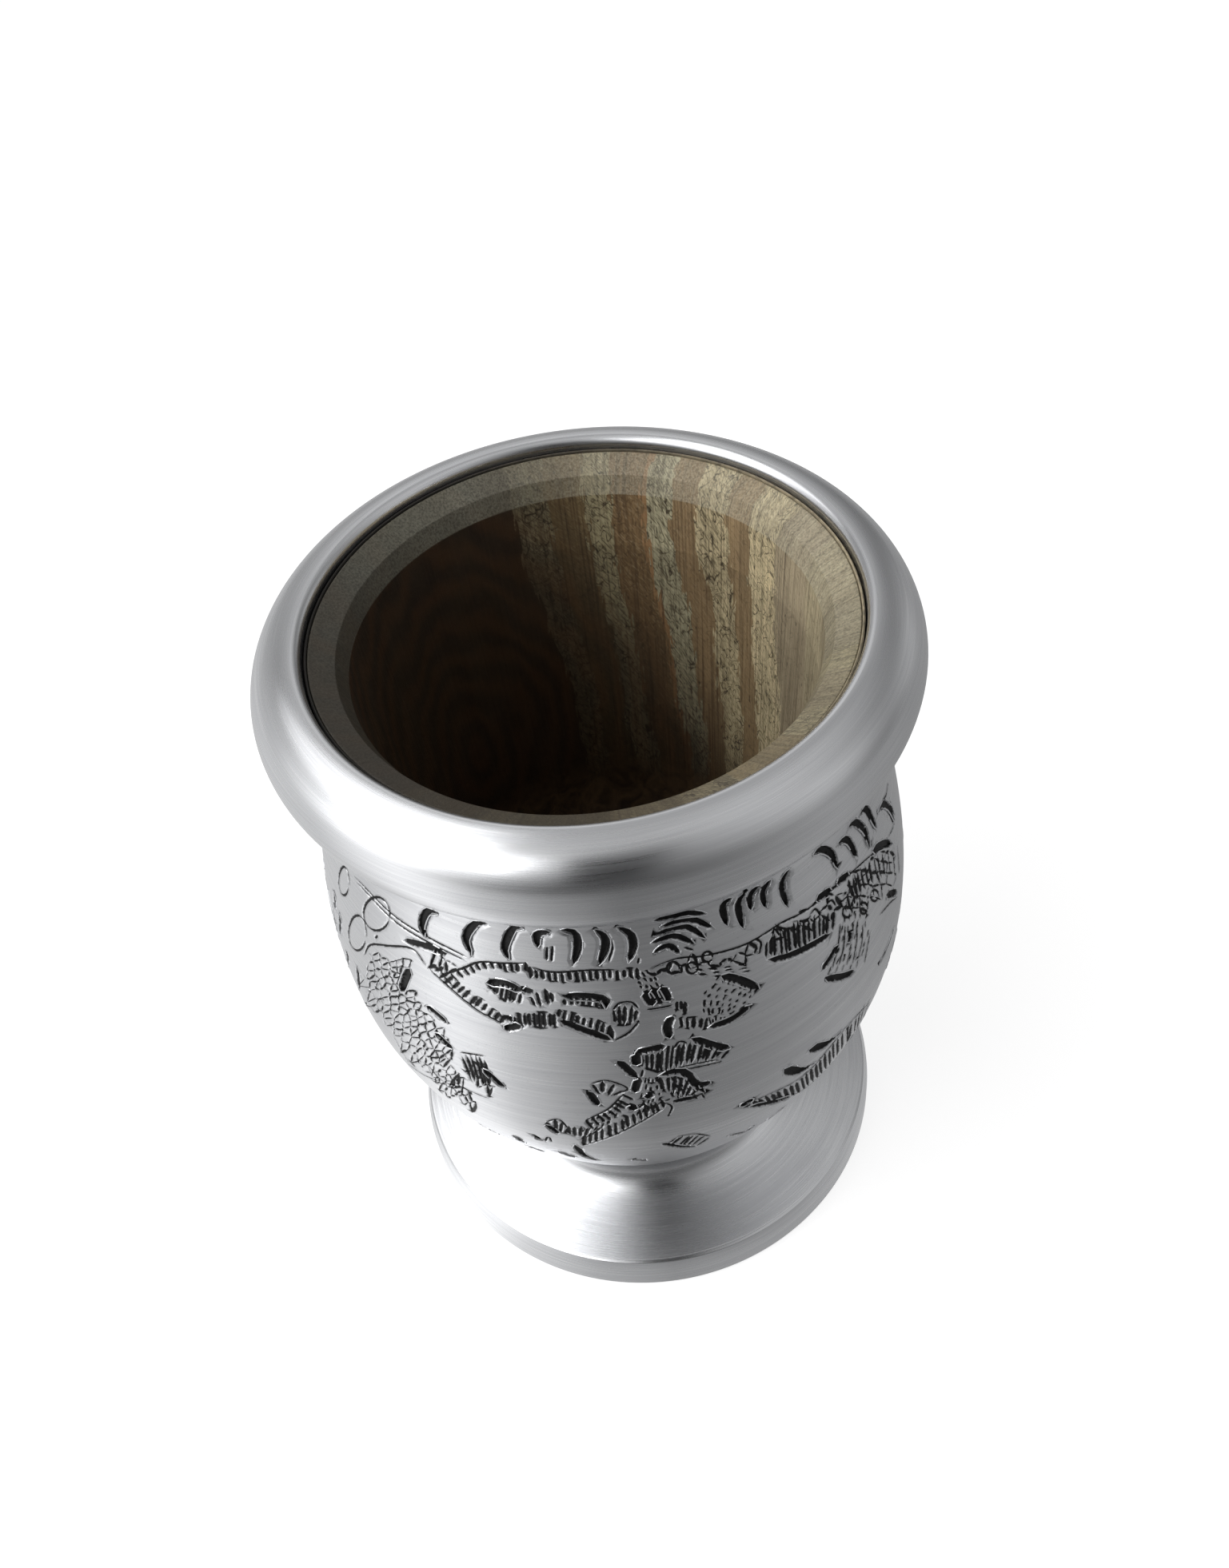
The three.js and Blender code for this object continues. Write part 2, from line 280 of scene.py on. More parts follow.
def add_camera():
    """The camera that the scene is rendered through."""
    lens = bpy.data.cameras.new("photo_camera")
    lens.sensor_width = SENSOR_SIZE
    lens.lens = SENSOR_SIZE * PHOTO_FOCAL / PHOTO_HEIGHT
    lens.clip_start = NEAREST_SIGHT
    camera = linked("photo_camera", lens)
    camera.matrix_world = Matrix.Translation(CAMERA_PLACE * MM) @ CAMERA_TURN.to_4x4()
    bpy.context.scene.camera = camera


# Chiselled barrel

BARREL_CURVES = bezier(*BARREL_LOWER, BARREL_STEPS) + bezier(*BARREL_UPPER, BARREL_STEPS)
BARREL_SECTION = np.array([BARREL_FOOT] + BARREL_CURVES)
BARREL_STRETCHES = np.linalg.norm(np.diff(BARREL_SECTION, axis=0), axis=1)
BARREL_ALONG = np.concatenate([[0.0], np.cumsum(BARREL_STRETCHES)])
BARREL_LENGTH = float(BARREL_ALONG[-1])
BARREL_NORMALS = section_normals([tuple(p) for p in BARREL_SECTION], False)
# Where the unrolled side starts, as a turn and in mm around, and the spacing of its grid in mm
SEAM_TURN = math.radians(-109.5)
SEAM_U = SEAM_TURN * REFERENCE_RADIUS
GRID_STEP = 1.5
# Distances in mm at which sight lines are first tried, and the clearance given above and below the barrel
SIGHT_STEPS = np.linspace(130.0, 300.0, 700)
OFF_BARREL = 50.0
HALVINGS = 20


def barrel_radius(v):
    """The barrel's radius at v mm up its side."""
    return np.interp(v, BARREL_ALONG, BARREL_SECTION[:, 0])


def on_barrel(u, v, lift):
    """Points in mm on the barrel, u around and v up its side, lifted off it, and the normals there."""
    radius = barrel_radius(v)
    height = np.interp(v, BARREL_ALONG, BARREL_SECTION[:, 1])
    out = np.interp(v, BARREL_ALONG, BARREL_NORMALS[:, 0])
    up = np.interp(v, BARREL_ALONG, BARREL_NORMALS[:, 1])
    size = np.hypot(out, up)
    out, up = out / size, up / size
    turn = u / REFERENCE_RADIUS
    radius = radius + out * lift
    places = np.column_stack([radius * np.sin(turn), -radius * np.cos(turn), height + up * lift])
    normals = np.column_stack([out * np.sin(turn), -out * np.cos(turn), up])
    return places, normals


def pixels_to_barrel(pixels):
    """Where the sight lines through photo pixels first meet the barrel, as u and v in mm."""
    pixels = np.asarray(pixels, dtype=float)
    local = np.column_stack([(pixels[:, 0] - PHOTO_WIDTH / 2) / PHOTO_FOCAL,
                             (PHOTO_HEIGHT / 2 - pixels[:, 1]) / PHOTO_FOCAL, -np.ones(len(pixels))])
    rays = local @ np.array(CAMERA_TURN).T
    start = np.array(CAMERA_PLACE)
    low, high = BARREL_FOOT[1], BARREL_NECK[1]

    def clearance(t):
        place = start + rays[:, None, :] * t[..., None]
        radius = np.interp(place[..., 2], BARREL_SECTION[:, 1], BARREL_SECTION[:, 0])
        outside = (place[..., 2] < low) | (place[..., 2] > high)
        return np.where(outside, OFF_BARREL, np.hypot(place[..., 0], place[..., 1]) - radius)

    gaps = clearance(np.broadcast_to(SIGHT_STEPS, (len(rays), len(SIGHT_STEPS))))
    hit = np.where((gaps < 0.0).any(axis=1), np.argmax(gaps < 0.0, axis=1), np.argmin(gaps, axis=1))
    near = SIGHT_STEPS[np.maximum(hit - 1, 0)]
    far = SIGHT_STEPS[hit]
    for _ in range(HALVINGS):
        middle = (near + far) / 2.0
        inside = clearance(middle[:, None])[:, 0] < 0.0
        far = np.where(inside, middle, far)
        near = np.where(inside, near, middle)
    place = start + rays * far[:, None]
    u = np.arctan2(place[:, 0], -place[:, 1]) * REFERENCE_RADIUS
    return np.column_stack([u, np.interp(place[:, 2], BARREL_SECTION[:, 1], BARREL_ALONG)])


# Chisel cuts, as tracks of photo pixels with a width in mm. Each points list was read

# Curved cuts of the border under the rim
BORDER_CUTS = [
    [(547, 1144), (534, 1141), (527.5, 1156), (531.5, 1170)],
    [(608, 1158), (594, 1157), (583, 1172.5), (590, 1192.5)],
    [(654, 1163.5), (641, 1163), (631.5, 1184), (637, 1198)],
    [(702, 1165), (718, 1168), (722, 1184), (716.5, 1205)],
    [(744, 1164), (755.5, 1173), (756.5, 1186), (749.5, 1205)],
    [(772, 1161), (788, 1169.5), (791.5, 1184), (786, 1202)],
    [(916, 1124), (905, 1134), (909.5, 1156)],
    [(934, 1117), (924, 1131.5), (929.5, 1159)],
    [(948.5, 1109), (939.5, 1120), (939.5, 1137)],
    [(964, 1101), (955, 1116), (958.5, 1134)],
    [(987.5, 1088), (978.5, 1107), (985.5, 1132.5)],
    [(1018, 1070), (1028, 1063), (1040, 1068), (1047, 1085)],
    [(1048.5, 1055.5), (1060.5, 1051), (1072, 1071)],
    [(1098.5, 1017), (1106, 1006), (1113, 1012), (1118, 1026)],
    [(1062, 1037), (1070.5, 1029.5), (1081.5, 1038.5), (1086.5, 1057)],
    [(1075.5, 1021), (1084.5, 1012.5), (1095.5, 1034.5)],
    [(673, 1184), (672, 1170), (688, 1166)],
]

# Narrow gouges of the tuft that breaks the border
TUFT_CUTS = [
    [(816, 1152), (856, 1143), (885, 1143)],
    [(824.5, 1160), (862, 1150), (894, 1162)],
    [(816, 1170.5), (856, 1159), (883, 1174)],
    [(813.5, 1180), (843, 1171), (869, 1180.5)],
    [(817, 1192), (836, 1183), (851.5, 1194)],
]

# Bold round-ended gouges in the foliage
BOLD_CUTS = [
    [(503, 1176), (538, 1185), (556, 1194)],
    [(501, 1240), (507, 1224), (513, 1211)],
    [(533, 1257), (560, 1280)],
    [(544, 1291), (566, 1312)],
    [(604, 1336), (632, 1362)],
    [(597, 1406), (624, 1418)],
    [(631, 1287.5), (652, 1282)],
    [(607.5, 1229), (624, 1229), (640, 1233), (653, 1241)],
    [(704, 1247), (730, 1246), (757, 1250), (758, 1262)],
    [(697, 1276), (734, 1290), (767, 1302)],
    [(959, 1200), (981, 1198), (1014, 1183), (1041, 1167)],
    [(1048, 1181), (1037, 1200), (1027, 1214)],
    [(1032, 1224), (1052, 1222), (1070, 1215)],
    [(1119, 1158), (1110, 1184), (1099, 1207)],
    [(901, 1220), (925, 1226), (950, 1237)],
    [(885, 1286), (915, 1275), (941, 1256)],
    [(842, 1270), (835, 1284), (838, 1299)],
    [(772, 1326), (796, 1348)],
    [(794, 1317), (834, 1308)],
    [(795, 1318), (796, 1333)],
    [(864, 1298), (894, 1308), (914, 1311)],
    [(799, 1349), (794, 1367)],
    [(823, 1346), (854, 1340), (871, 1356), (883, 1368)],
    [(843, 1378), (869, 1373)],
    [(735, 1364), (748, 1383)],
    [(643, 1420), (655, 1429)],
    [(683, 1406), (698, 1418)],
    [(657, 1432), (680, 1440)],
    [(699, 1440), (719, 1447)],
    [(719, 1431), (729, 1444), (747, 1451)],
    [(791, 1450), (809, 1451)],
    [(827, 1430), (850, 1434), (871, 1434)],
    [(910, 1420), (929, 1416), (944, 1407)],
    [(960, 1400), (983, 1382)],
    [(936, 1384), (966, 1379), (989, 1371)],
    [(925, 1384), (943, 1374)],
    [(654, 1237), (660, 1240)],
    [(636, 1274), (642, 1276)],
    [(806, 1241), (817, 1258)],
    [(816, 1237), (827, 1256)],
    [(827, 1234), (837, 1252)],
    [(1129, 1163), (1120, 1188), (1108, 1211)],
    [(418, 1114), (419, 1136)],
    [(425, 1142), (425, 1168)],
    [(434, 1191), (435.5, 1208)],
    [(447, 1209), (449, 1238)],
    [(1020, 1126), (1030, 1119), (1040, 1113)],
    [(1046, 1105), (1054, 1099), (1062, 1094)],
    [(1090.5, 1064), (1104.5, 1056), (1116.5, 1055)],
    [(1108.5, 1120), (1122, 1116)],
    [(1064, 1166), (1063, 1178)],
    [(670, 1422), (679, 1427)],
    [(789, 1382), (793, 1389)],
    [(809, 1374), (816, 1368)],
    [(874, 1357), (889, 1355)],
]

# Gouges with a round head that run out to a point
TEARDROPS = [
    [(980, 1337), (1000, 1340), (1021, 1328)],
    [(1011, 1313), (1034, 1306), (1054, 1288)],
]

# Thin outlines and stems
FINE_CUTS = [
    [(756, 1163), (765.5, 1183), (761, 1204)],
    [(684, 1184), (683.5, 1201)],
    [(691, 1182), (689.5, 1203.5)],
    [(1062, 1025), (1070, 1015.5)],
    [(1098.5, 1017.5), (1105, 1005), (1111, 1012), (1117.5, 1030), (1111, 1047.5)],
    [(1110.5, 979.5), (1108, 994), (1103.5, 1001.5)],
    [(1112, 1000), (1119, 1020)],
    [(856, 1185), (867, 1188.5)],
    [(799, 1199), (798, 1205)],
    [(469, 1174), (472, 1170)],
    [(443, 1096), (490, 1143), (533, 1171), (587, 1198.5)],
    [(445, 1102), (490, 1149), (531, 1176), (585, 1203)],
    [(455, 1196), (463, 1182), (485, 1183), (516, 1187), (533, 1208)],
    [(534, 1330), (554, 1352), (579, 1361), (611, 1374)],
    [(575, 1316), (607, 1321)],
    [(554, 1220), (579, 1211), (600, 1203.5), (627, 1205), (657, 1205)],
    [(536, 1211), (561, 1234), (595, 1262), (627, 1280)],
    [(663, 1209), (690, 1216), (734, 1214), (772, 1213)],
    [(766, 1264), (775, 1255), (790, 1254), (799, 1262)],
    [(768, 1302), (786, 1292), (799, 1278)],
    [(830, 1341), (864, 1332), (901, 1325)],
    [(738, 1356), (759, 1351.5), (785, 1362), (765, 1370)],
    [(733, 1401), (761, 1387), (779, 1369)],
    [(729, 1433), (765, 1421), (802, 1403), (832, 1385)],
    [(683, 1403), (699, 1400), (711, 1412)],
    [(848, 1421), (870, 1418), (889, 1421)],
    [(925, 1384), (965, 1367), (998, 1350), (1023, 1327), (1056, 1287), (1089, 1251)],
    [(961, 1381), (998, 1366), (1024, 1346), (1060, 1306), (1078, 1279)],
    [(1088, 1167), (1081, 1205)],
    [(808, 1263), (825, 1261), (842, 1257)],
    [(790, 1392), (800, 1382), (812, 1386), (806, 1396)],
    [(815, 1390), (826, 1380), (840, 1384), (836, 1396)],
    [(493, 1297), (502, 1314), (512, 1330)],
    [(510, 1330), (530, 1344), (553, 1354)],
    [(811, 1212), (847, 1199), (880, 1196), (923, 1185), (950, 1172), (978, 1154), (1003, 1142),
     (1030, 1122), (1060, 1096), (1092, 1068), (1118, 1054)],
    [(940, 1178), (946, 1175), (952, 1180), (950, 1192)],
    [(964, 1168), (970, 1163), (975, 1170)],
    [(974, 1160), (986, 1162), (995, 1157)],
    [(999, 1151), (1008, 1153), (1014, 1145)],
    [(999, 1141), (1009, 1137)],
    [(1013, 1144), (1020, 1137), (1027, 1145)],
    [(1032, 1134), (1040, 1126), (1046, 1133)],
    [(1063, 1107), (1060, 1120), (1050, 1130)],
    [(1065, 1107), (1068, 1120), (1069.5, 1131)],
    [(1073.5, 1090), (1071.5, 1106), (1073.5, 1124)],
    [(1051, 1155), (1048.5, 1180), (1041, 1211)],
    [(1057, 1157), (1055, 1184), (1049, 1208)],
    [(1065, 1183), (1059, 1207)],
    [(1071, 1156), (1071.5, 1176), (1066.5, 1204)],
    [(1079, 1154), (1078, 1178), (1073, 1198)],
    [(1100.5, 1144), (1112.5, 1130), (1122, 1121)],
    [(724, 1426), (740, 1419), (756, 1407)],
    [(681, 1428), (686, 1422), (690, 1428)],
    [(797, 1387), (806, 1382), (808, 1390)],
    [(832, 1377), (838, 1374.5)],
    [(804, 1338), (802, 1347)],
    [(842, 1312), (850, 1303), (860, 1305)],
    [(850, 1339), (876, 1334), (902, 1328)],
]

# Bands of short cuts between two edges: first edge, second edge, number of cuts
HATCHED_BANDS = [
    ([(554, 1220), (579, 1211), (600, 1203.5), (627, 1205), (657, 1205)],
     [(566, 1232), (586, 1222), (603, 1214), (627, 1215), (657, 1217)], 13),
    ([(536, 1211), (561, 1234), (595, 1262), (627, 1280)],
     [(548, 1206), (573, 1226), (604, 1252), (632, 1270)], 13),
    ([(612, 1231), (624, 1230), (640, 1235), (651, 1241)],
     [(614, 1238), (622, 1247), (634, 1253), (648, 1255)], 8),
    ([(664, 1248), (670, 1238), (680, 1235), (689, 1241)],
     [(668, 1258), (677, 1261), (685, 1260), (691, 1254)], 4),
    ([(648, 1268), (672, 1266), (693, 1266)], [(650, 1284), (672, 1287), (694, 1286)], 8),
    ([(663, 1209), (690, 1216), (734, 1214), (772, 1213), (796, 1210)],
     [(665, 1222), (690, 1229), (734, 1227), (772, 1226), (797, 1224)], 17),
    ([(700, 1263), (730, 1270), (757, 1280), (768, 1288)],
     [(697, 1274), (730, 1286), (755, 1296), (767, 1301)], 10),
    ([(706, 1249), (730, 1248), (756, 1252)], [(708, 1258), (730, 1259), (752, 1262)], 7),
    ([(768, 1264), (776, 1257), (790, 1256), (797, 1263)],
     [(770, 1280), (778, 1283), (786, 1283), (793, 1279)], 5),
    ([(794, 1319), (820, 1314), (836, 1310), (866, 1301), (894, 1310), (913, 1312)],
     [(797, 1335), (820, 1341), (832, 1340), (864, 1331), (886, 1328), (902, 1324)], 18),
    ([(826, 1347), (854, 1342), (870, 1356), (881, 1367)],
     [(832, 1366), (846, 1372), (858, 1373), (868, 1373)], 8),
    ([(741, 1357), (759, 1353), (782, 1362)], [(748, 1368), (758, 1370), (766, 1370)], 4),
    ([(733, 1401), (761, 1387), (779, 1369)], [(741, 1411), (770, 1398), (793, 1376)], 9),
    ([(731, 1418), (765, 1406), (800, 1388), (828, 1374)],
     [(729, 1433), (765, 1421), (802, 1403), (832, 1385)], 14),
    ([(683, 1403), (699, 1400), (711, 1412)], [(690, 1412), (700, 1417), (706, 1418)], 4),
    ([(710, 1409), (722, 1407), (735, 1411)], [(712, 1420), (722, 1422), (732, 1421)], 4),
    ([(848, 1421), (870, 1418), (889, 1421)], [(834, 1431), (852, 1434), (872, 1433)], 7),
    ([(925, 1384), (965, 1367), (998, 1350), (1023, 1327), (1056, 1287), (1087, 1252)],
     [(936, 1385), (968, 1380), (1000, 1366), (1026, 1346), (1062, 1304), (1078, 1279)], 26),
    ([(960, 1176), (983, 1158), (1012, 1148), (1043, 1138)],
     [(959, 1199), (984, 1196), (1014, 1182), (1041, 1166)], 15),
    ([(1062, 1100), (1082, 1080), (1104, 1064), (1122, 1058)],
     [(1068, 1124), (1092, 1106), (1112, 1094), (1124, 1090)], 12),
    ([(851, 1274), (868, 1272), (885, 1272)], [(853, 1286), (868, 1288), (883, 1287)], 5),
    ([(846, 1250), (857, 1252)], [(847, 1262), (857, 1268)], 3),
    ([(577, 1318), (592, 1319), (606, 1322)], [(590, 1352), (603, 1356), (613, 1358)], 6),
]

# Leaves covered in a net of thin cuts: left edge, right edge, rows, cells in a row, width of the cuts
NETTED_LEAVES = [
    ([(456, 1188), (449, 1225), (460, 1264), (482, 1291), (500, 1314), (522, 1338)],
     [(530, 1202), (508, 1224), (524, 1246), (560, 1284), (563, 1312), (576, 1328)], 19, 7, 0.3),
    ([(522, 1338), (542, 1356), (562, 1378)], [(578, 1332), (574, 1350), (590, 1362)], 6, 5, 0.3),
    ([(556, 1354), (566, 1374), (584, 1386)], [(580, 1356), (596, 1368), (602, 1380)], 4, 4, 0.45),
    ([(576, 1336), (584, 1350), (600, 1362)], [(608, 1332), (616, 1344), (626, 1360)], 4, 4, 0.45),
    ([(806, 1216), (850, 1202), (884, 1196), (924, 1186), (948, 1174)],
     [(812, 1232), (850, 1219), (884, 1217), (926, 1207), (954, 1198)], 13, 2, 0.5),
    ([(956, 1166), (1000, 1146), (1032, 1126), (1058, 1102)],
     [(966, 1186), (1006, 1166), (1040, 1150), (1068, 1124)], 10, 2, 0.5),
    ([(1052, 1098), (1078, 1072), (1100, 1058), (1122, 1050)],
     [(1066, 1152), (1090, 1134), (1108, 1120), (1126, 1108)], 8, 4, 0.42),
    ([(560, 1194), (544, 1204), (532, 1200)], [(588, 1206), (568, 1220), (552, 1216)], 3, 3, 0.4),
]

# Leaves stippled with short cuts along their length: left edge, right edge, rows, cuts in a row
STIPPLED_LEAVES = [
    ([(1052, 1136), (1050, 1176), (1036, 1214)], [(1082, 1128), (1087, 1166), (1078, 1206)], 7, 5),
    ([(896, 1224), (876, 1250), (884, 1278)], [(944, 1240), (938, 1252), (916, 1272)], 6, 7),
    ([(872, 1206), (900, 1210), (926, 1204)], [(880, 1222), (906, 1222), (934, 1216)], 4, 3),
    ([(834, 1352), (838, 1366), (842, 1376)], [(858, 1346), (872, 1360), (880, 1370)], 4, 5),
    ([(806, 1352), (802, 1372), (796, 1392)], [(826, 1350), (830, 1368), (824, 1382)], 5, 4),
    ([(790, 1224), (800, 1236)], [(816, 1216), (826, 1232)], 3, 4),
    ([(740, 1402), (728, 1416)], [(776, 1386), (768, 1404)], 3, 5),
]

# Rings cut with a round punch: centre and half sizes in photo pixels
RINGS = [((430, 1102), (6.4, 18.0)), ((471, 1143), (16.5, 21.0)), ((447, 1167), (11.0, 22.0)),
         ((842, 1211), (7.6, 7.6)), ((866, 1211), (7.0, 7.0)), ((885, 1197), (6.5, 6.5)),
         ((1060, 1141), (6.0, 6.5)), ((1080.5, 1136), (5.0, 7.0)), ((1094, 1120), (5.0, 7.0))]

# Photo box of the vine that is repeated on the two sides: left, top, right, bottom
SIDE_VINE = (640, 1295, 920, 1455)
SIDE_TURN = math.radians(92.0)

# Border cuts of the sides: degrees from the front, the points of one cut in mm around and down,
# and how far below the neck it starts in mm
SIDE_BORDER = np.arange(66.0, 116.0, 6.4)
SIDE_CUT = [(-1.0, 0.4), (0.9, 1.4), (1.3, 3.0), (0.5, 4.8)]
SIDE_CUT_DOWN = 5.5

# Widths and depths of the cuts in mm
BORDER_WIDTH = 1.12
TUFT_WIDTH = 1.0
BOLD_WIDTH = 1.3
TEAR_WIDTH = 2.3
FINE_WIDTH = 0.5
HATCH_WIDTH = 0.85
STIPPLE_WIDTH = 0.5
RING_WIDTH = 0.55
BOLD_DEPTH = 0.42
FINE_DEPTH = 0.22

# Uneven work of the hand: shifts in pixels, or in mm for the sides, and ranges that widths are multiplied by
HATCH_SHIFT = 0.7
NET_SHIFT = 2.0
STIPPLE_SHIFT = 0.8
SIDE_SHIFT = 0.12
HATCH_RANGE = (0.75, 1.15)
NET_RANGE = (0.6, 2.0)
STIPPLE_RANGE = (0.7, 1.3)
SIDE_RANGE = (0.8, 1.05)

# How much longer the border's cuts are made than they were read
BORDER_STRETCH = 1.12
# Shallow fading side of the border's cuts: shift in pixels, width in mm and darkness, which is partly patina
# and partly painted shade of the cut's sloping side
FADE_SHIFT = 4.5
FADE_WIDTH = 1.3
FADE_PATINA_AND_SHADE = 0.3

# Numbers of points in the cuts' tracks
CURVED_POINTS = 9
BOLD_POINTS = 8
POINTS_PER_BEND = 5
HATCH_POINTS = 5
SHORT_POINTS = 4
RING_POINTS = 25

# Half length of a stippled cut as a share of its cell, the turn at which a ring starts in radians,
# and the reach of a net's cells as a share of their step
DASH_SHARE = 0.36
RING_START = 0.3
NET_REACH = 1.3
# Smallest triangle and shortest wall of a net, in photo pixels
LEAST_AREA = 1e-3
LEAST_WALL = 1.0

# A cut's flat floor as a share of its half width, and the raised lip around it in mm
FLOOR_SHARE = 0.62
BURR_REACH = 0.2
BURR_LIFT = 0.06

# Distances in mm at which a point counts as in reach of a cut, near its edge and on its edge
CUT_MARGIN = 0.05
NEAR_EDGE = 0.03
ON_EDGE = 0.02
# Darkness under which a point counts as uncut
LEAST_SHARE = 0.03
# Distances at which points are merged, and at which they lie on the seam or an end
MERGE_DISTANCE = 1e-4
SEAM_TOLERANCE = 1e-3

# Inside of the barrel: the points of the outside that its wall follows, how far above the floor
# the wall starts in mm, and where its part of the turning map starts in mm
INSIDE_POINTS = slice(8, -6, 8)
WALL_START = 1.0
INSIDE_MAP = 200.0

CUT_SEED = 20
rng = np.random.default_rng(CUT_SEED)


def eased(points, count):
    """A smooth run of count points through given ones."""
    points = np.asarray(points, dtype=float)
    if len(points) == 2:
        return points[0] + np.linspace(0.0, 1.0, count)[:, None] * (points[1] - points[0])
    padded = np.vstack([2 * points[0] - points[1], points, 2 * points[-1] - points[-2]])
    lengths = np.concatenate([[0.0], np.cumsum(np.linalg.norm(np.diff(points, axis=0), axis=1))])
    run = []
    for s in np.linspace(0.0, lengths[-1], count):
        i = min(int(np.searchsorted(lengths, s, side="right")) - 1, len(points) - 2)
        t = (s - lengths[i]) / (lengths[i + 1] - lengths[i])
        a, b, c, d = padded[i:i + 4]
        run.append(0.5 * (2 * b + (c - a) * t + (2 * a - 5 * b + 4 * c - d) * t ** 2
                          + (3 * b - a - 3 * c + d) * t ** 3))
    return np.array(run)


def round_ends(t):
    """Width along a cut with blunt round ends."""
    return (1.0 - np.abs(2.0 * t - 1.0) ** 5) ** 0.5


def pointed_ends(t):
    """Width along a cut that swells in its middle."""
    return np.sin(np.pi * t) ** 0.45


def tear_ends(t):
    """Width along a cut with a round head that runs out to a point."""
    return np.minimum((t / 0.16) ** 0.5, 1.0) * (1.0 - t) ** 0.6


def leaf_cells(left, right, rows, columns, shift):
    """The staggered cells of a leaf, as centres and steps down the leaf, in photo pixels."""
    starts, ends = eased(left, rows), eased(right, rows)
    centres, downs = [], []
    for row in range(rows):
        above, below = max(row - 1, 0), min(row + 1, rows - 1)
        for column in range(columns):
            t = (column + 0.5 + 0.5 * (row % 2 - 0.5)) / columns
            track = starts + (ends - starts) * t
            centres.append(track[row] + rng.normal(0.0, shift, 2))
            downs.append((track[below] - track[above]) / (below - above))
    return np.array(centres), np.array(downs)


def net_walls(centres, reach):
    """Lines half way between neighbouring cells, as pairs of points."""
    flat = delaunay_2d_cdt([Vector(c) for c in centres], [], [], 0, MERGE_DISTANCE)
    places = np.array([tuple(p) for p in flat[0]])
    walls = {}
    for face in flat[2]:
        corners = places[face]
        sides = corners[1:] - corners[0]
        squares = 0.5 * ((corners[1:] ** 2).sum(axis=1) - (corners[0] ** 2).sum())
        if abs(np.linalg.det(sides)) < LEAST_AREA:
            continue
        middle = np.linalg.solve(sides, squares)
        if np.linalg.norm(middle - corners[0]) > reach:
            continue
        for i, j in ((0, 1), (1, 2), (0, 2)):
            walls.setdefault(tuple(sorted((face[i], face[j]))), []).append(middle)
    pairs = [pair for pair in walls.values() if len(pair) == 2]
    return [pair for pair in pairs if np.linalg.norm(pair[0] - pair[1]) > LEAST_WALL]


def border_cuts():
    """The border's curved cuts, each with its shallow fading side, greyed partly as patina and partly as
    painted shade.
    """
    cuts = []
    for points in BORDER_CUTS:
        track = eased(points, CURVED_POINTS)
        track = track.mean(axis=0) + (track - track.mean(axis=0)) * BORDER_STRETCH
        inward = (track[0] + track[-1]) / 2.0 - track[CURVED_POINTS // 2]
        inward *= FADE_SHIFT / max(np.linalg.norm(inward), 1e-6)
        cuts.append((track, BORDER_WIDTH, pointed_ends, BOLD_DEPTH, 1.0))
        # Painted shade: the shallow side's grey is partly patina and partly stands for the shade of the cut's
        # sloping wall
        cuts.append((track + inward, FADE_WIDTH, pointed_ends, FINE_DEPTH, FADE_PATINA_AND_SHADE))
    return cuts


def fine_cut(track, width):
    """A shallow round-ended cut."""
    return track, width, round_ends, FINE_DEPTH, 1.0


def photo_cuts():
    """Every cut in the photograph: pixel track, width in mm, end shape, depth in mm and darkness."""
    cuts = border_cuts()
    cuts += [(eased(p, CURVED_POINTS), TUFT_WIDTH, pointed_ends, BOLD_DEPTH, 1.0) for p in TUFT_CUTS]
    cuts += [(eased(p, BOLD_POINTS), BOLD_WIDTH, round_ends, BOLD_DEPTH, 1.0) for p in BOLD_CUTS]
    cuts += [(eased(p, CURVED_POINTS), TEAR_WIDTH, tear_ends, BOLD_DEPTH, 1.0) for p in TEARDROPS]
    cuts += [fine_cut(eased(p, POINTS_PER_BEND * len(p)), FINE_WIDTH) for p in FINE_CUTS]
    for first, second, count in HATCHED_BANDS:
        for a, b in zip(eased(first, count), eased(second, count)):
            shift = rng.normal(0.0, HATCH_SHIFT, 2)
            width = HATCH_WIDTH * rng.uniform(*HATCH_RANGE)
            cuts.append(fine_cut(eased([a + shift, b + shift], HATCH_POINTS), width))
    for left, right, rows, columns, width in NETTED_LEAVES:
        centres, downs = leaf_cells(left, right, rows, columns, NET_SHIFT)
        for wall in net_walls(centres, NET_REACH * np.linalg.norm(downs, axis=1).mean()):
            cuts.append(fine_cut(eased(wall, SHORT_POINTS), width * rng.uniform(*NET_RANGE)))
    for left, right, rows, columns in STIPPLED_LEAVES:
        for centre, down in zip(*leaf_cells(left, right, rows, columns, STIPPLE_SHIFT)):
            dash = [centre - DASH_SHARE * down, centre + DASH_SHARE * down]
            cuts.append(fine_cut(eased(dash, SHORT_POINTS), STIPPLE_WIDTH * rng.uniform(*STIPPLE_RANGE)))
    turns = np.linspace(RING_START, RING_START + 2.0 * math.pi, RING_POINTS)
    circle = np.column_stack([np.cos(turns), np.sin(turns)])
    cuts += [fine_cut(np.array(centre) + circle * np.array(half), RING_WIDTH) for centre, half in RINGS]
    return cuts


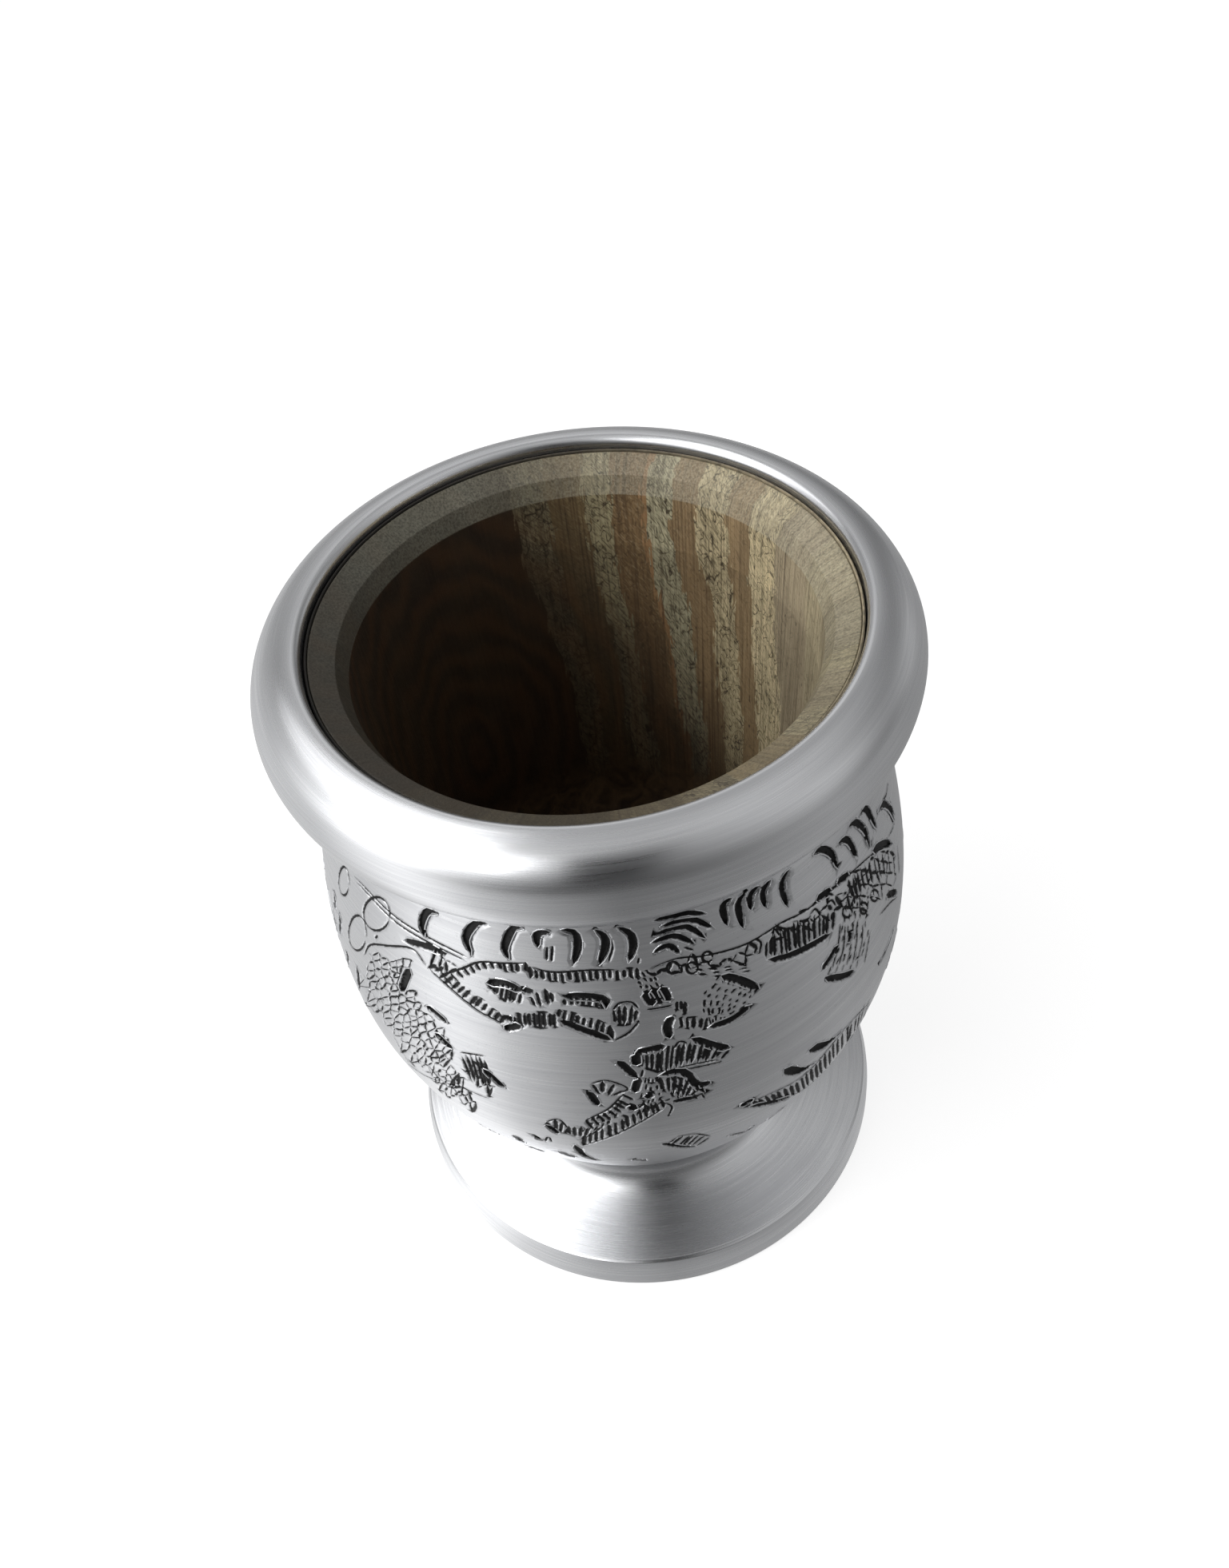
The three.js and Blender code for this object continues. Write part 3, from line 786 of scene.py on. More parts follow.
def placed_cuts():
    """The cuts as u and v track, half widths, depth and darkness, on the front, the back and the sides."""
    cuts = photo_cuts()
    sizes = [len(cut[0]) for cut in cuts]
    tracks = np.split(pixels_to_barrel(np.vstack([cut[0] for cut in cuts])), np.cumsum(sizes)[:-1])
    placed = []
    for track, (pixels, width, shape, depth, tone) in zip(tracks, cuts):
        half = 0.5 * width * shape(np.linspace(0.0, 1.0, len(track)))
        left, top = pixels.min(axis=0)
        right, bottom = pixels.max(axis=0)
        turns = [0.0, math.pi]
        if left > SIDE_VINE[0] and top > SIDE_VINE[1] and right < SIDE_VINE[2] and bottom < SIDE_VINE[3]:
            turns += [SIDE_TURN, SIDE_TURN + math.pi]
        for turn in turns:
            placed.append((track + np.array([turn * REFERENCE_RADIUS, 0.0]), half, depth, tone))
    half = 0.5 * BORDER_WIDTH * pointed_ends(np.linspace(0.0, 1.0, CURVED_POINTS))
    downward = eased(SIDE_CUT, CURVED_POINTS) * np.array([1.0, -1.0])
    for angle in np.concatenate([SIDE_BORDER, SIDE_BORDER + 180.0]):
        start = np.array([math.radians(angle) * REFERENCE_RADIUS, BARREL_LENGTH - SIDE_CUT_DOWN])
        track = start + downward + rng.normal(0.0, SIDE_SHIFT, 2)
        placed.append((track, half * rng.uniform(*SIDE_RANGE), BOLD_DEPTH, 1.0))
    return placed


def wrapped_cuts():
    """The placed cuts, each moved by whole turns to lie after the seam, without the few that cross it."""
    moved = []
    for track, half, depth, tone in placed_cuts():
        laps = np.floor((track[:, 0].mean() - SEAM_U) / GIRTH)
        place = track - np.array([laps * GIRTH, 0.0])
        reach = (half.max() + 2.0 * BURR_REACH) * REFERENCE_RADIUS / barrel_radius(place[:, 1].mean())
        if place[:, 0].min() - reach > SEAM_U and place[:, 0].max() + reach < SEAM_U + GIRTH:
            moved.append((place, half, depth, tone))
    return moved


def unrolled(track):
    """A track true to length on the unrolled side, its directions along and across, and its stretch."""
    stretch = np.array([barrel_radius(track[:, 1].mean()) / REFERENCE_RADIUS, 1.0])
    line = track * stretch
    tangent = np.gradient(line, axis=0)
    tangent /= np.maximum(np.linalg.norm(tangent, axis=1), 1e-9)[:, None]
    return line, tangent, np.column_stack([-tangent[:, 1], tangent[:, 0]]), stretch


def cut_points(track, half, depth):
    """Points that carry one cut's centre, floor, edges and burr, and the edges to keep between them."""
    line, tangent, side, stretch = unrolled(track)
    count = len(line)
    inner = slice(1, count - 1)
    points = [line]
    chains = [list(range(count))]
    size = count
    for sign in (1.0, -1.0):
        points.append(line[inner] + sign * side[inner] * half[inner, None])
        chains.append([0] + list(range(size, size + count - 2)) + [count - 1])
        size += count - 2
        if depth > FINE_DEPTH:
            points.append(line[inner] + sign * side[inner] * FLOOR_SHARE * half[inner, None])
            size += count - 2
        points.append(line[inner] + sign * side[inner] * (half[inner, None] + BURR_REACH))
        size += count - 2
    points.append([line[0] - tangent[0] * BURR_REACH, line[-1] + tangent[-1] * BURR_REACH])
    edges = [(a, b) for chain in chains for a, b in zip(chain[:-1], chain[1:])]
    return np.vstack(points) / stretch, edges


def cut_depths(u, v, cuts):
    """At each point the depth of its deepest cut, below 0 on a lip, its darkness, and if a cut is near."""
    order = np.argsort(u)
    sorted_u = u[order]
    depths = np.zeros(len(u))
    lips = np.zeros(len(u))
    share = np.zeros(len(u))
    near = np.zeros(len(u), dtype=bool)
    for track, half, depth, tone in cuts:
        reach = half.max() + CUT_MARGIN
        stretch = barrel_radius(track[:, 1].mean()) / REFERENCE_RADIUS
        first = np.searchsorted(sorted_u, track[:, 0].min() - reach / stretch)
        last = np.searchsorted(sorted_u, track[:, 0].max() + reach / stretch)
        picked = order[first:last]
        picked = picked[(v[picked] > track[:, 1].min() - reach) & (v[picked] < track[:, 1].max() + reach)]
        if not len(picked):
            continue
        place = np.column_stack([u[picked] * stretch, v[picked]])
        line = track * np.array([stretch, 1.0])
        along = line[1:] - line[:-1]
        offset = place[:, None, :] - line[None, :-1, :]
        t = (offset * along).sum(axis=2) / np.maximum((along ** 2).sum(axis=1), 1e-12)
        t = np.clip(t, 0.0, 1.0)
        gap = np.linalg.norm(offset - t[..., None] * along, axis=2)
        width = half[:-1] + t * (half[1:] - half[:-1])
        inside = (1.0 - gap / np.maximum(width, 1e-6)).max(axis=1)
        wall = 1.0 - FLOOR_SHARE if depth > FINE_DEPTH else 1.0
        amount = np.clip(inside / wall, 0.0, 1.0)
        depths[picked] = np.maximum(depths[picked], depth * amount)
        share[picked] = np.maximum(share[picked], tone * amount)
        edge = (gap - width).min(axis=1)
        near[picked] |= edge < NEAR_EDGE
        lips[picked[np.abs(edge) < ON_EDGE]] = BURR_LIFT
    return np.where(share > LEAST_SHARE, depths, -lips), share, near


def triangulated(cuts):
    """The barrel's unrolled side, from the seam once around, as triangles that keep the cuts' edges."""
    points, edges = [], []
    total = 0
    for track, half, depth, _ in cuts:
        places, kept = cut_points(track, half, depth)
        points.append(places)
        edges.extend((a + total, b + total) for a, b in kept)
        total += len(places)
    rows = int(round(BARREL_LENGTH / GRID_STEP))
    for row in range(rows + 1):
        offset = 0.5 * (row % 2) if 0 < row < rows else 0.0
        columns = np.arange(FACETS + 1) + offset
        columns = np.unique(np.clip(np.concatenate([[0.0], columns, [FACETS]]), 0.0, FACETS))
        points.append(np.column_stack([SEAM_U + columns * GIRTH / FACETS,
                                       np.full(len(columns), BARREL_LENGTH * row / rows)]))
    points = np.vstack(points)
    points[:, 0] = np.clip(points[:, 0], SEAM_U, SEAM_U + GIRTH)
    points[:, 1] = np.clip(points[:, 1], 0.0, BARREL_LENGTH)
    flat = delaunay_2d_cdt([Vector(p) for p in points], edges, [], 0, MERGE_DISTANCE)
    triangles = np.array([list(f) for f in flat[2] if len(f) == 3])
    return np.array([tuple(p) for p in flat[0]]), triangles


def barrel_inside():
    """The barrel's hidden section from its neck round the spigot, the bore and the floor to its foot."""
    outer = BARREL_SECTION[INSIDE_POINTS][::-1]
    wall = [(float(r) - BARREL_WALL, float(z)) for r, z in outer if z > BARREL_FLOOR_TOP + WALL_START]
    spigot = [(SPIGOT_RADIUS, BARREL_NECK[1]), (SPIGOT_RADIUS, SPIGOT_TOP), (SPIGOT_BORE, SPIGOT_TOP)]
    floor = [(BARREL_FLOOR_EDGE, BARREL_FLOOR_TOP), (BARREL_HOLE, BARREL_FLOOR_TOP),
             (BARREL_HOLE, BARREL_FOOT[1])]
    return spigot + wall + floor


def in_order(flat, chosen, axis):
    """The numbers of the chosen points, sorted along one axis."""
    picked = np.where(chosen)[0]
    return picked[np.argsort(flat[picked, axis])]


def chiselled_side(flat, triangles, cuts):
    """Places, normals and darkness of the outside's points, and the triangles closed at the seam."""
    depths, share, near = cut_depths(flat[:, 0], flat[:, 1], cuts)
    places, normals = on_barrel(flat[:, 0], flat[:, 1], -depths)
    mend = np.arange(len(flat))
    seam_left = in_order(flat, flat[:, 0] < SEAM_U + SEAM_TOLERANCE, 1)
    seam_right = in_order(flat, flat[:, 0] > SEAM_U + GIRTH - SEAM_TOLERANCE, 1)
    mend[seam_right] = seam_left
    a, b, c = (places[triangles[:, k]] for k in range(3))
    face_normals = np.cross(b - a, c - a)
    measured = np.zeros_like(normals)
    for k in range(3):
        np.add.at(measured, mend[triangles[:, k]], face_normals)
    measured /= np.maximum(np.linalg.norm(measured, axis=1), 1e-12)[:, None]
    normals[near] = measured[near]
    return places, normals, share, mend[triangles].tolist()


def chiselled_barrel(name, cuts):
    """The barrel: its outside with the cuts in it, and the plain turned inside, as one closed mesh."""
    flat, triangles = triangulated(cuts)
    places, side_normals, share, faces = chiselled_side(flat, triangles, cuts)
    corner_uv = [tuple(flat[i]) for t in triangles for i in t]
    vertices = places.tolist()
    normals = side_normals.tolist()
    top = in_order(flat, flat[:, 1] > BARREL_LENGTH - SEAM_TOLERANCE, 0)[:-1].tolist()
    bottom = in_order(flat, flat[:, 1] < SEAM_TOLERANCE, 0)[:-1].tolist()
    hidden = barrel_inside()
    hidden_normals = section_normals([BARREL_NECK] + hidden + [BARREL_FOOT], False)[1:-1]
    rings = [top]
    for (radius, height), (out, up) in zip(hidden, hidden_normals):
        rings.append(list(range(len(vertices), len(vertices) + len(top))))
        for j in range(len(top)):
            turn = SEAM_TURN + 2.0 * math.pi * j / len(top)
            vertices.append((radius * math.sin(turn), -radius * math.cos(turn), height))
            normals.append((out * math.sin(turn), -out * math.cos(turn), up))
    rings.append(bottom)
    step = GIRTH / len(top)
    for i, (low, high) in enumerate(zip(rings[:-1], rings[1:])):
        start, end = INSIDE_MAP + i, INSIDE_MAP + i + 1.0
        for j in range(len(low)):
            k = (j + 1) % len(low)
            faces.append([low[j], low[k], high[k], high[j]])
            corner_uv.extend([(j * step, start), ((j + 1) * step, start),
                              ((j + 1) * step, end), (j * step, end)])
    used = sorted({i for f in faces for i in f})
    renamed = {old: new for new, old in enumerate(used)}
    faces = [[renamed[i] for i in f] for f in faces]
    piece = finish_mesh(name, [vertices[i] for i in used], faces, [normals[i] for i in used], corner_uv)
    darkness = np.concatenate([share, np.zeros(len(vertices) - len(share))])[used]
    layer = piece.data.attributes.new("cut", "FLOAT", "POINT")
    layer.data.foreach_set("value", darkness.astype(np.float32))
    return piece


# Shader and node helpers

MATH = "ShaderNodeMath"
VECTOR = "ShaderNodeVectorMath"
RANGE = "ShaderNodeMapRange"
RAMP = "ShaderNodeValToRGB"
MIX = "ShaderNodeMix"
SPLIT = "ShaderNodeSeparateXYZ"
JOIN = "ShaderNodeCombineXYZ"
NOISE = "ShaderNodeTexNoise"
BUMP = "ShaderNodeBump"
COORDINATES = "ShaderNodeTexCoord"
LIGHT_PATH = "ShaderNodeLightPath"
GLOW = "ShaderNodeEmission"
WHITE = (1.0, 1.0, 1.0, 1.0)
SEED_SKEW = 1.7


def linear(code):
    """A colour from its hex code, as linear RGBA."""
    values = [int(code[i:i + 2], 16) / 255.0 for i in (1, 3, 5)]
    return tuple(v / 12.92 if v <= 0.04045 else ((v + 0.055) / 1.055) ** 2.4 for v in values) + (1.0,)


def grey(tone):
    """A linear grey."""
    return (tone, tone, tone, 1.0)


def feed(tree, node, inputs):
    """Set inputs to values, or link them from sockets or from the first output in use of other nodes."""
    for key, value in inputs.items():
        if isinstance(value, bpy.types.Node):
            value = next(socket for socket in value.outputs if socket.enabled)
        if isinstance(value, bpy.types.NodeSocket):
            tree.links.new(value, node.inputs[key])
        else:
            node.inputs[key].default_value = value


def add(tree, kind, inputs=(), stops=(), blend="LINEAR", **settings):
    """A node with its settings, its colour stops, and its inputs in their order or by name or number."""
    made = tree.nodes.new(kind)
    for key, value in settings.items():
        setattr(made, key, value)
    if stops:
        made.color_ramp.interpolation = blend
        elements = made.color_ramp.elements
        while len(elements) < len(stops):
            elements.new(0.5)
        for element, (place, colour) in zip(elements, stops):
            element.position = place
            element.color = colour
    feed(tree, made, inputs if isinstance(inputs, dict) else dict(enumerate(inputs)))
    return made


def new_material(name):
    """A material with its node tree and its Principled shader."""
    material = bpy.data.materials.new(name)
    material.use_nodes = True
    tree = material.node_tree
    return material, tree, tree.nodes["Principled BSDF"]


def turn_share(tree):
    """The turn from the front towards +X, as a share of a whole turn, from the turning map."""
    place = add(tree, SPLIT, (add(tree, "ShaderNodeUVMap", uv_map="turning"),))
    return add(tree, MATH, (place.outputs["X"], 1.0 / GIRTH), operation="MULTIPLY")


def around_stops(table):
    """Ramp stops from pairs of degrees from the front and a hex code."""
    return [(angle / 360.0, linear(code)) for angle, code in table]


def layered(tree, base, layers):
    """The base colour with others laid over it in turn, each by its own amount."""
    for amount, colour in layers:
        base = add(tree, MIX, {0: amount, 6: base, 7: colour}, data_type="RGBA")
    return base


def marks(tree, size, detail=2.0, seed=0.0, distortion=0.0, lean=0.0):
    """Noise round the turned piece, without a seam: cells of size, mm around and along, leant by lean."""
    wide, tall = size
    place = add(tree, SPLIT, (add(tree, "ShaderNodeUVMap", uv_map="turning"),))
    length = place.outputs["Y"]
    spot = add(tree, COORDINATES).outputs["Object"]
    flattened = add(tree, VECTOR, (spot, (1.0, 1.0, 0.0)), operation="MULTIPLY")
    out = add(tree, VECTOR, (flattened,), operation="NORMALIZE")
    slant = add(tree, MATH, (length, lean / REFERENCE_RADIUS), operation="MULTIPLY")
    leant = add(tree, "ShaderNodeVectorRotate", {"Vector": out, "Angle": slant}, rotation_type="Z_AXIS")
    around = REFERENCE_RADIUS / wide
    scaled = add(tree, VECTOR, (leant, (around, around, 1.0)), operation="MULTIPLY")
    rise = add(tree, MATH, (length, 1.0 / tall), operation="MULTIPLY")
    risen = add(tree, VECTOR, (scaled, add(tree, JOIN, {"Z": rise})))
    moved = add(tree, VECTOR, (risen, (seed, seed * SEED_SKEW, seed)))
    return add(tree, NOISE, {"Vector": moved, "Scale": 1.0, "Detail": detail, "Distortion": distortion})


# Metals

# Lathe marks in mm around and along: real ones are finer, and these are as coarse as they need to be to show
FINE_MARKS = (9.091, 0.13333)
BROAD_MARKS = (33.333, 0.45455)
METAL_CLOUDS = (20.0, 20.0)
# Ragged edges of the patina and its grit, in mm
PATINA_EDGE = (0.45455, 0.45455)
PATINA_GRIT = (0.71429, 0.71429)
GLOSS_SPREAD = 0.04
WEAR_SPREAD = 0.03
PATINA_ROUGHNESS = 0.55


def turned_metal(tree, shader, light, dark, roughness):
    """Satin metal from the lathe: fine streaks around the axis in colour, gloss and bump."""
    fine = marks(tree, FINE_MARKS, 4.0)
    broad = marks(tree, BROAD_MARKS, 3.0, seed=5.0)
    cloudy = marks(tree, METAL_CLOUDS, 2.0, seed=9.0)
    streaks = add(tree, MATH, (fine, broad))
    shade = add(tree, RANGE, (streaks, 0.7, 1.3, 0.0, 1.0))
    colour = add(tree, RAMP, (shade,), [(0.0, linear(dark)), (1.0, linear(light))])
    gloss = add(tree, RANGE, (streaks, 0.7, 1.3, roughness + GLOSS_SPREAD, roughness - GLOSS_SPREAD))
    wear = add(tree, RANGE, (cloudy, 0.3, 0.7, -WEAR_SPREAD, WEAR_SPREAD))
    around = add(tree, "ShaderNodeTangent", direction_type="RADIAL", axis="Z")
    bump = add(tree, BUMP, {"Height": fine, "Strength": 0.12, "Distance": 0.00005})
    feed(tree, shader, {"Anisotropic": 0.6, "Anisotropic Rotation": 0.25, "Tangent": around, "Normal": bump})
    return colour, add(tree, MATH, (gloss, wear))


def uncut_metal(name, light, dark, roughness):
    """A turned metal with nothing cut into it."""
    material, tree, shader = new_material(name)
    colour, gloss = turned_metal(tree, shader, light, dark, roughness)
    feed(tree, shader, {"Base Color": colour, "Roughness": gloss, "Metallic": 1.0})
    return material


def satin_aluminium():
    """Turned aluminium: a soft grey sheen that draws highlights out across the turning marks."""
    return uncut_metal("satin_turned_aluminium", "#E3E4E6", "#D5D6D9", 0.27)


def plain_steel():
    """Plain turned steel of a fastener: greyer and glossier than the aluminium."""
    return uncut_metal("plain_turned_steel", "#B4B5B6", "#96979A", 0.26)


def chiselled_aluminium():
    """Turned aluminium with chisel cuts that hold dark patina, so the foliage reads black on grey."""
    material, tree, shader = new_material("chiselled_aluminium")
    colour, gloss = turned_metal(tree, shader, "#E3E4E6", "#D3D4D7", 0.29)
    depth = add(tree, "ShaderNodeAttribute", attribute_name="cut").outputs["Fac"]
    ragged = add(tree, RANGE, (marks(tree, PATINA_EDGE, 3.0, seed=3.0), 0.3, 0.7, -0.14, 0.14))
    filled = add(tree, RANGE, (add(tree, MATH, (depth, ragged)), 0.1, 0.5, 0.0, 1.0))
    grit = marks(tree, PATINA_GRIT, 3.0, seed=7.0)
    patina = add(tree, RAMP, (grit,), [(0.35, linear("#050506")), (0.75, linear("#19181A"))])
    bare = add(tree, RANGE, (filled, 0.0, 1.0, 1.0, 0.0))
    rough = add(tree, MIX, {0: filled, 2: gloss, 3: PATINA_ROUGHNESS}, data_type="FLOAT")
    feed(tree, shader, {"Base Color": layered(tree, colour, [(filled, patina)]), "Metallic": bare,
                        "Roughness": rough, "Specular IOR Level": 0.3})
    return material


# Wood and sealing compound

# Bands of sapwood and heartwood around the bowl: start in degrees from the front, colour, amount of curl. The
# dark bands from 193.5 to 318 degrees are partly dark heartwood and partly painted shade of the bowl's shaded
# left side
WOOD_BANDS = [
    (0.0, "#6E624A", 0.4), (14.0, "#8A7E62", 0.9), (24.0, "#8A7857", 0.3), (41.0, "#A89C7A", 0.8),
    (50.0, "#93866A", 0.3), (63.0, "#B0A480", 0.6), (70.0, "#9C9176", 0.3), (84.0, "#BDB090", 0.4),
    (101.0, "#B3A488", 0.3), (115.5, "#EBD9AE", 0.7), (127.5, "#A68D69", 0.3), (135.0, "#D9C89F", 0.9),
    (142.5, "#99805E", 0.3), (150.0, "#C4BD9C", 1.0), (156.5, "#AA845D", 0.3), (158.0, "#8A704F", 0.5),
    # Painted shade: the dark bands from here on also stand for the shade on the bowl's left side
    (168.0, "#B5AA86", 0.9), (175.5, "#857150", 0.4), (185.5, "#9C9070", 0.9), (193.5, "#44321F", 0.1),
    (222.0, "#332414", 0.0), (255.0, "#42301C", 0.1), (290.0, "#382818", 0.0), (318.0, "#4E402B", 0.3),
    (334.0, "#6E634C", 0.7), (344.0, "#57492F", 0.3),
]
# Weathered grey of the bevels with painted shade, darkest round the left and front where the rim shades them:
# place in degrees from the front, and colour
BEVEL_GREY_AND_SHADE = [
    (0.0, "#4C473B"), (45.0, "#8C8672"), (100.0, "#A9A38D"), (150.0, "#A09A84"), (170.0, "#98937F"),
    (186.0, "#7F7B69"), (205.0, "#777566"), (225.0, "#6E6E60"), (250.0, "#58574D"), (275.0, "#48463D"),
    (330.0, "#413E36"), (360.0, "#4C473B"),
]
# Wood dust and painted light and shade on the sealing compound, pale round the lit right side and dark round
# the shaded left: place in degrees from the front, and colour
SEAL_DUST_AND_LIGHT = [
    (0.0, "#4A4438"), (50.0, "#8B8069"), (100.0, "#A89B80"), (140.0, "#8B8069"), (175.0, "#4A4438"),
    (210.0, "#221F1A"), (310.0, "#221F1A"), (360.0, "#4A4438"),
]

# Grain of the wood and lumps of the compound, in mm around and along
BAND_DRIFT = (20.0, 25.0)
BAND_EDGE = (0.625, 3.3333)
DARK_STREAKS = (0.41667, 20.0)
CURLED_STRANDS = (0.5, 1.6129)
SQUIGGLES = (3.3333, 5.0)
OPEN_PORES = (0.90909, 2.0)
WORN_FUZZ = (0.3125, 0.3125)
STAIN_CLOUDS = (6.25, 14.2857)
RING_WAVER = (10.0, 16.6667)
SEAL_LUMPS = (1.25, 0.83333)

# Heights in metres, among them that of the painted shadow line and that towards which painted shade deepens,
# and how far the bands and the heartwood's painted shadow edge lean over, in turns per metre below the bevels
BEVEL_EDGE_Z = 0.1056
SHADOW_LINE_Z = 0.0972
DEEP_SHADE_Z = 0.055
BOWL_FLOOR_Z = 0.050
FLOOR_BLEND = 0.006
SHARP_EDGE = 0.0001
BAND_LEAN = 0.5
HEART_AND_SHADE_LEAN = 2.6

# Rings of the heartwood: their middle's turn and its height in metres, the bowl's girth and the rings'
# spacing in metres, and the share of a rise that counts, which makes the rings taller than wide
HEART_TURN = 0.617
HEART_Z = 0.066
BOWL_GIRTH = 0.19
RING_SPACING = 0.0042
RING_RISE = 0.7

# End grain on the bowl's floor: cells in a metre, about 4 mm each
END_GRAIN_SCALE = 260.0


def leant_over(tree, turn, height, lean):
    """The turn with lean added for each metre below the bevels' lower edge."""
    below = add(tree, RANGE, (height, BEVEL_EDGE_Z, BEVEL_EDGE_Z - 1.0, 0.0, lean))
    return add(tree, MATH, (turn, below))


def curled_layers(tree, curly, streaks, strands):
    """Amounts and colours of the dark streaks, the curled strands, the squiggles and the pores."""
    streaked = add(tree, RANGE, (streaks, 0.46, 0.7, 0.0, 0.65))
    hollows = add(tree, RANGE, (strands, 0.5, 0.4, 0.0, 0.8))
    gaps = add(tree, MATH, (hollows, curly), operation="MULTIPLY")
    tops = add(tree, RANGE, (strands, 0.55, 0.7, 0.0, 0.42))
    crests = add(tree, MATH, (tops, curly), operation="MULTIPLY")
    centred = add(tree, MATH, (marks(tree, SQUIGGLES, 1.0, seed=31.0, distortion=2.2), -0.5))
    off_line = add(tree, MATH, (centred,), operation="ABSOLUTE")
    line = add(tree, RANGE, (off_line, 0.006, 0.024, 0.9, 0.0))
    pale = add(tree, RANGE, (curly, 0.3, 0.8, 0.3, 1.0))
    drawn = add(tree, MATH, (line, pale), operation="MULTIPLY")
    pores = add(tree, RANGE, (marks(tree, OPEN_PORES, 1.0, seed=21.0), 0.74, 0.78, 0.0, 0.8))
    return [(streaked, linear("#33241A")), (gaps, linear("#453A29")), (crests, linear("#EADBB4")),
            (drawn, linear("#2E2217")), (pores, linear("#2A2016"))]


def heart_and_shade_layer(tree, turn, band_turn, drift, height):
    """Amount and colour of the dark heartwood, with growth rings around its middle; it also serves as painted
    shade of the bowl's left side, and its edge swings further round lower down as a painted shadow edge.
    """
    # Painted shadow edge: the dark region reaches further round the wall lower down, where the mouth's shadow
    # falls
    heart_and_shade_turn = add(tree, MATH, (leant_over(tree, band_turn, height, HEART_AND_SHADE_LEAN), drift))
    starts = add(tree, RANGE, (heart_and_shade_turn, 0.475, 0.56, 0.0, 0.8))
    ends = add(tree, RANGE, (turn, 0.86, 0.9, 1.0, 0.0))
    amount = add(tree, MATH, (starts, ends), operation="MULTIPLY")
    from_middle = add(tree, MATH, (turn, -HEART_TURN))
    across = add(tree, MATH, (from_middle, BOWL_GIRTH), operation="MULTIPLY")
    above_middle = add(tree, MATH, (height, -HEART_Z))
    rise = add(tree, MATH, (above_middle, RING_RISE), operation="MULTIPLY")
    reach = add(tree, VECTOR, (add(tree, JOIN, {"X": across, "Y": rise}),), operation="LENGTH")
    waver = add(tree, RANGE, (marks(tree, RING_WAVER, 3.0, seed=41.0), 0.3, 0.7, -3.0, 3.0))
    even = add(tree, MATH, (reach, 2.0 * math.pi / RING_SPACING), operation="MULTIPLY")
    wave = add(tree, MATH, (add(tree, MATH, (even, waver)),), operation="SINE")
    rings = add(tree, RANGE, (wave, -0.8, 1.0, 0.0, 1.0))
    return amount, layered(tree, linear("#1C1009"), [(rings, linear("#382210"))])


def bevel_layer(tree, turn, height, fuzz):
    """Amount and colour of the weathered grey on the fuzzy bevels, with painted shade that makes it darker
    and thicker on the shaded left.
    """
    on_bevel = add(tree, RANGE, (height, BEVEL_EDGE_Z - SHARP_EDGE, BEVEL_EDGE_Z + SHARP_EDGE, 0.0, 1.0))
    # Painted shade: the bevels' grey covers more of the wood round the shaded left side
    shaded_left_share = add(tree, RANGE, (turn, 0.48, 0.6, 0.5, 0.74))
    amount = add(tree, MATH, (on_bevel, shaded_left_share), operation="MULTIPLY")
    # Painted shade: the grey is darker round the left and front, where the rim shades the bevels
    grey_with_painted_shade = add(tree, RAMP, (turn,), around_stops(BEVEL_GREY_AND_SHADE))
    speckles = add(tree, RANGE, (fuzz, 0.35, 0.62, 0.7, 0.0))
    return amount, layered(tree, grey_with_painted_shade, [(speckles, linear("#2A2821"))])


def stain_and_shade_layers(tree, spot, height):
    """Amounts and colours of the clouds, of a painted shadow line round the wall, of painted shade that
    darkens the bowl towards the bottom, and of the floor's end grain.
    """
    clouds = add(tree, RANGE, (marks(tree, STAIN_CLOUDS, 3.0, seed=17.0), 0.42, 0.62, 0.0, 0.22))
    # Painted shadow: a dark line all round the wall, just below this height
    shadow_line = add(tree, RANGE, (height, SHADOW_LINE_Z + SHARP_EDGE, SHADOW_LINE_Z - 2.0 * SHARP_EDGE, 0.0, 0.2))
    # Painted shade: the wall grows darker towards the bottom of the bowl
    deep_shade = add(tree, RANGE, (height, SHADOW_LINE_Z, DEEP_SHADE_Z, 0.0, 0.08))
    floor = add(tree, RANGE, (height, BOWL_FLOOR_Z + FLOOR_BLEND, BOWL_FLOOR_Z, 0.0, 1.0))
    grain = add(tree, NOISE, {"Vector": spot, "Scale": END_GRAIN_SCALE, "Detail": 3.0, "Distortion": 1.5})
    end_grain = add(tree, RAMP, (grain,), [(0.35, linear("#2C1F13")), (0.65, linear("#4F3D28"))])
    return [(clouds, linear("#3F3426")), (shadow_line, linear("#2B2113")), (deep_shade, linear("#2A1A0C")),
            (floor, end_grain)]


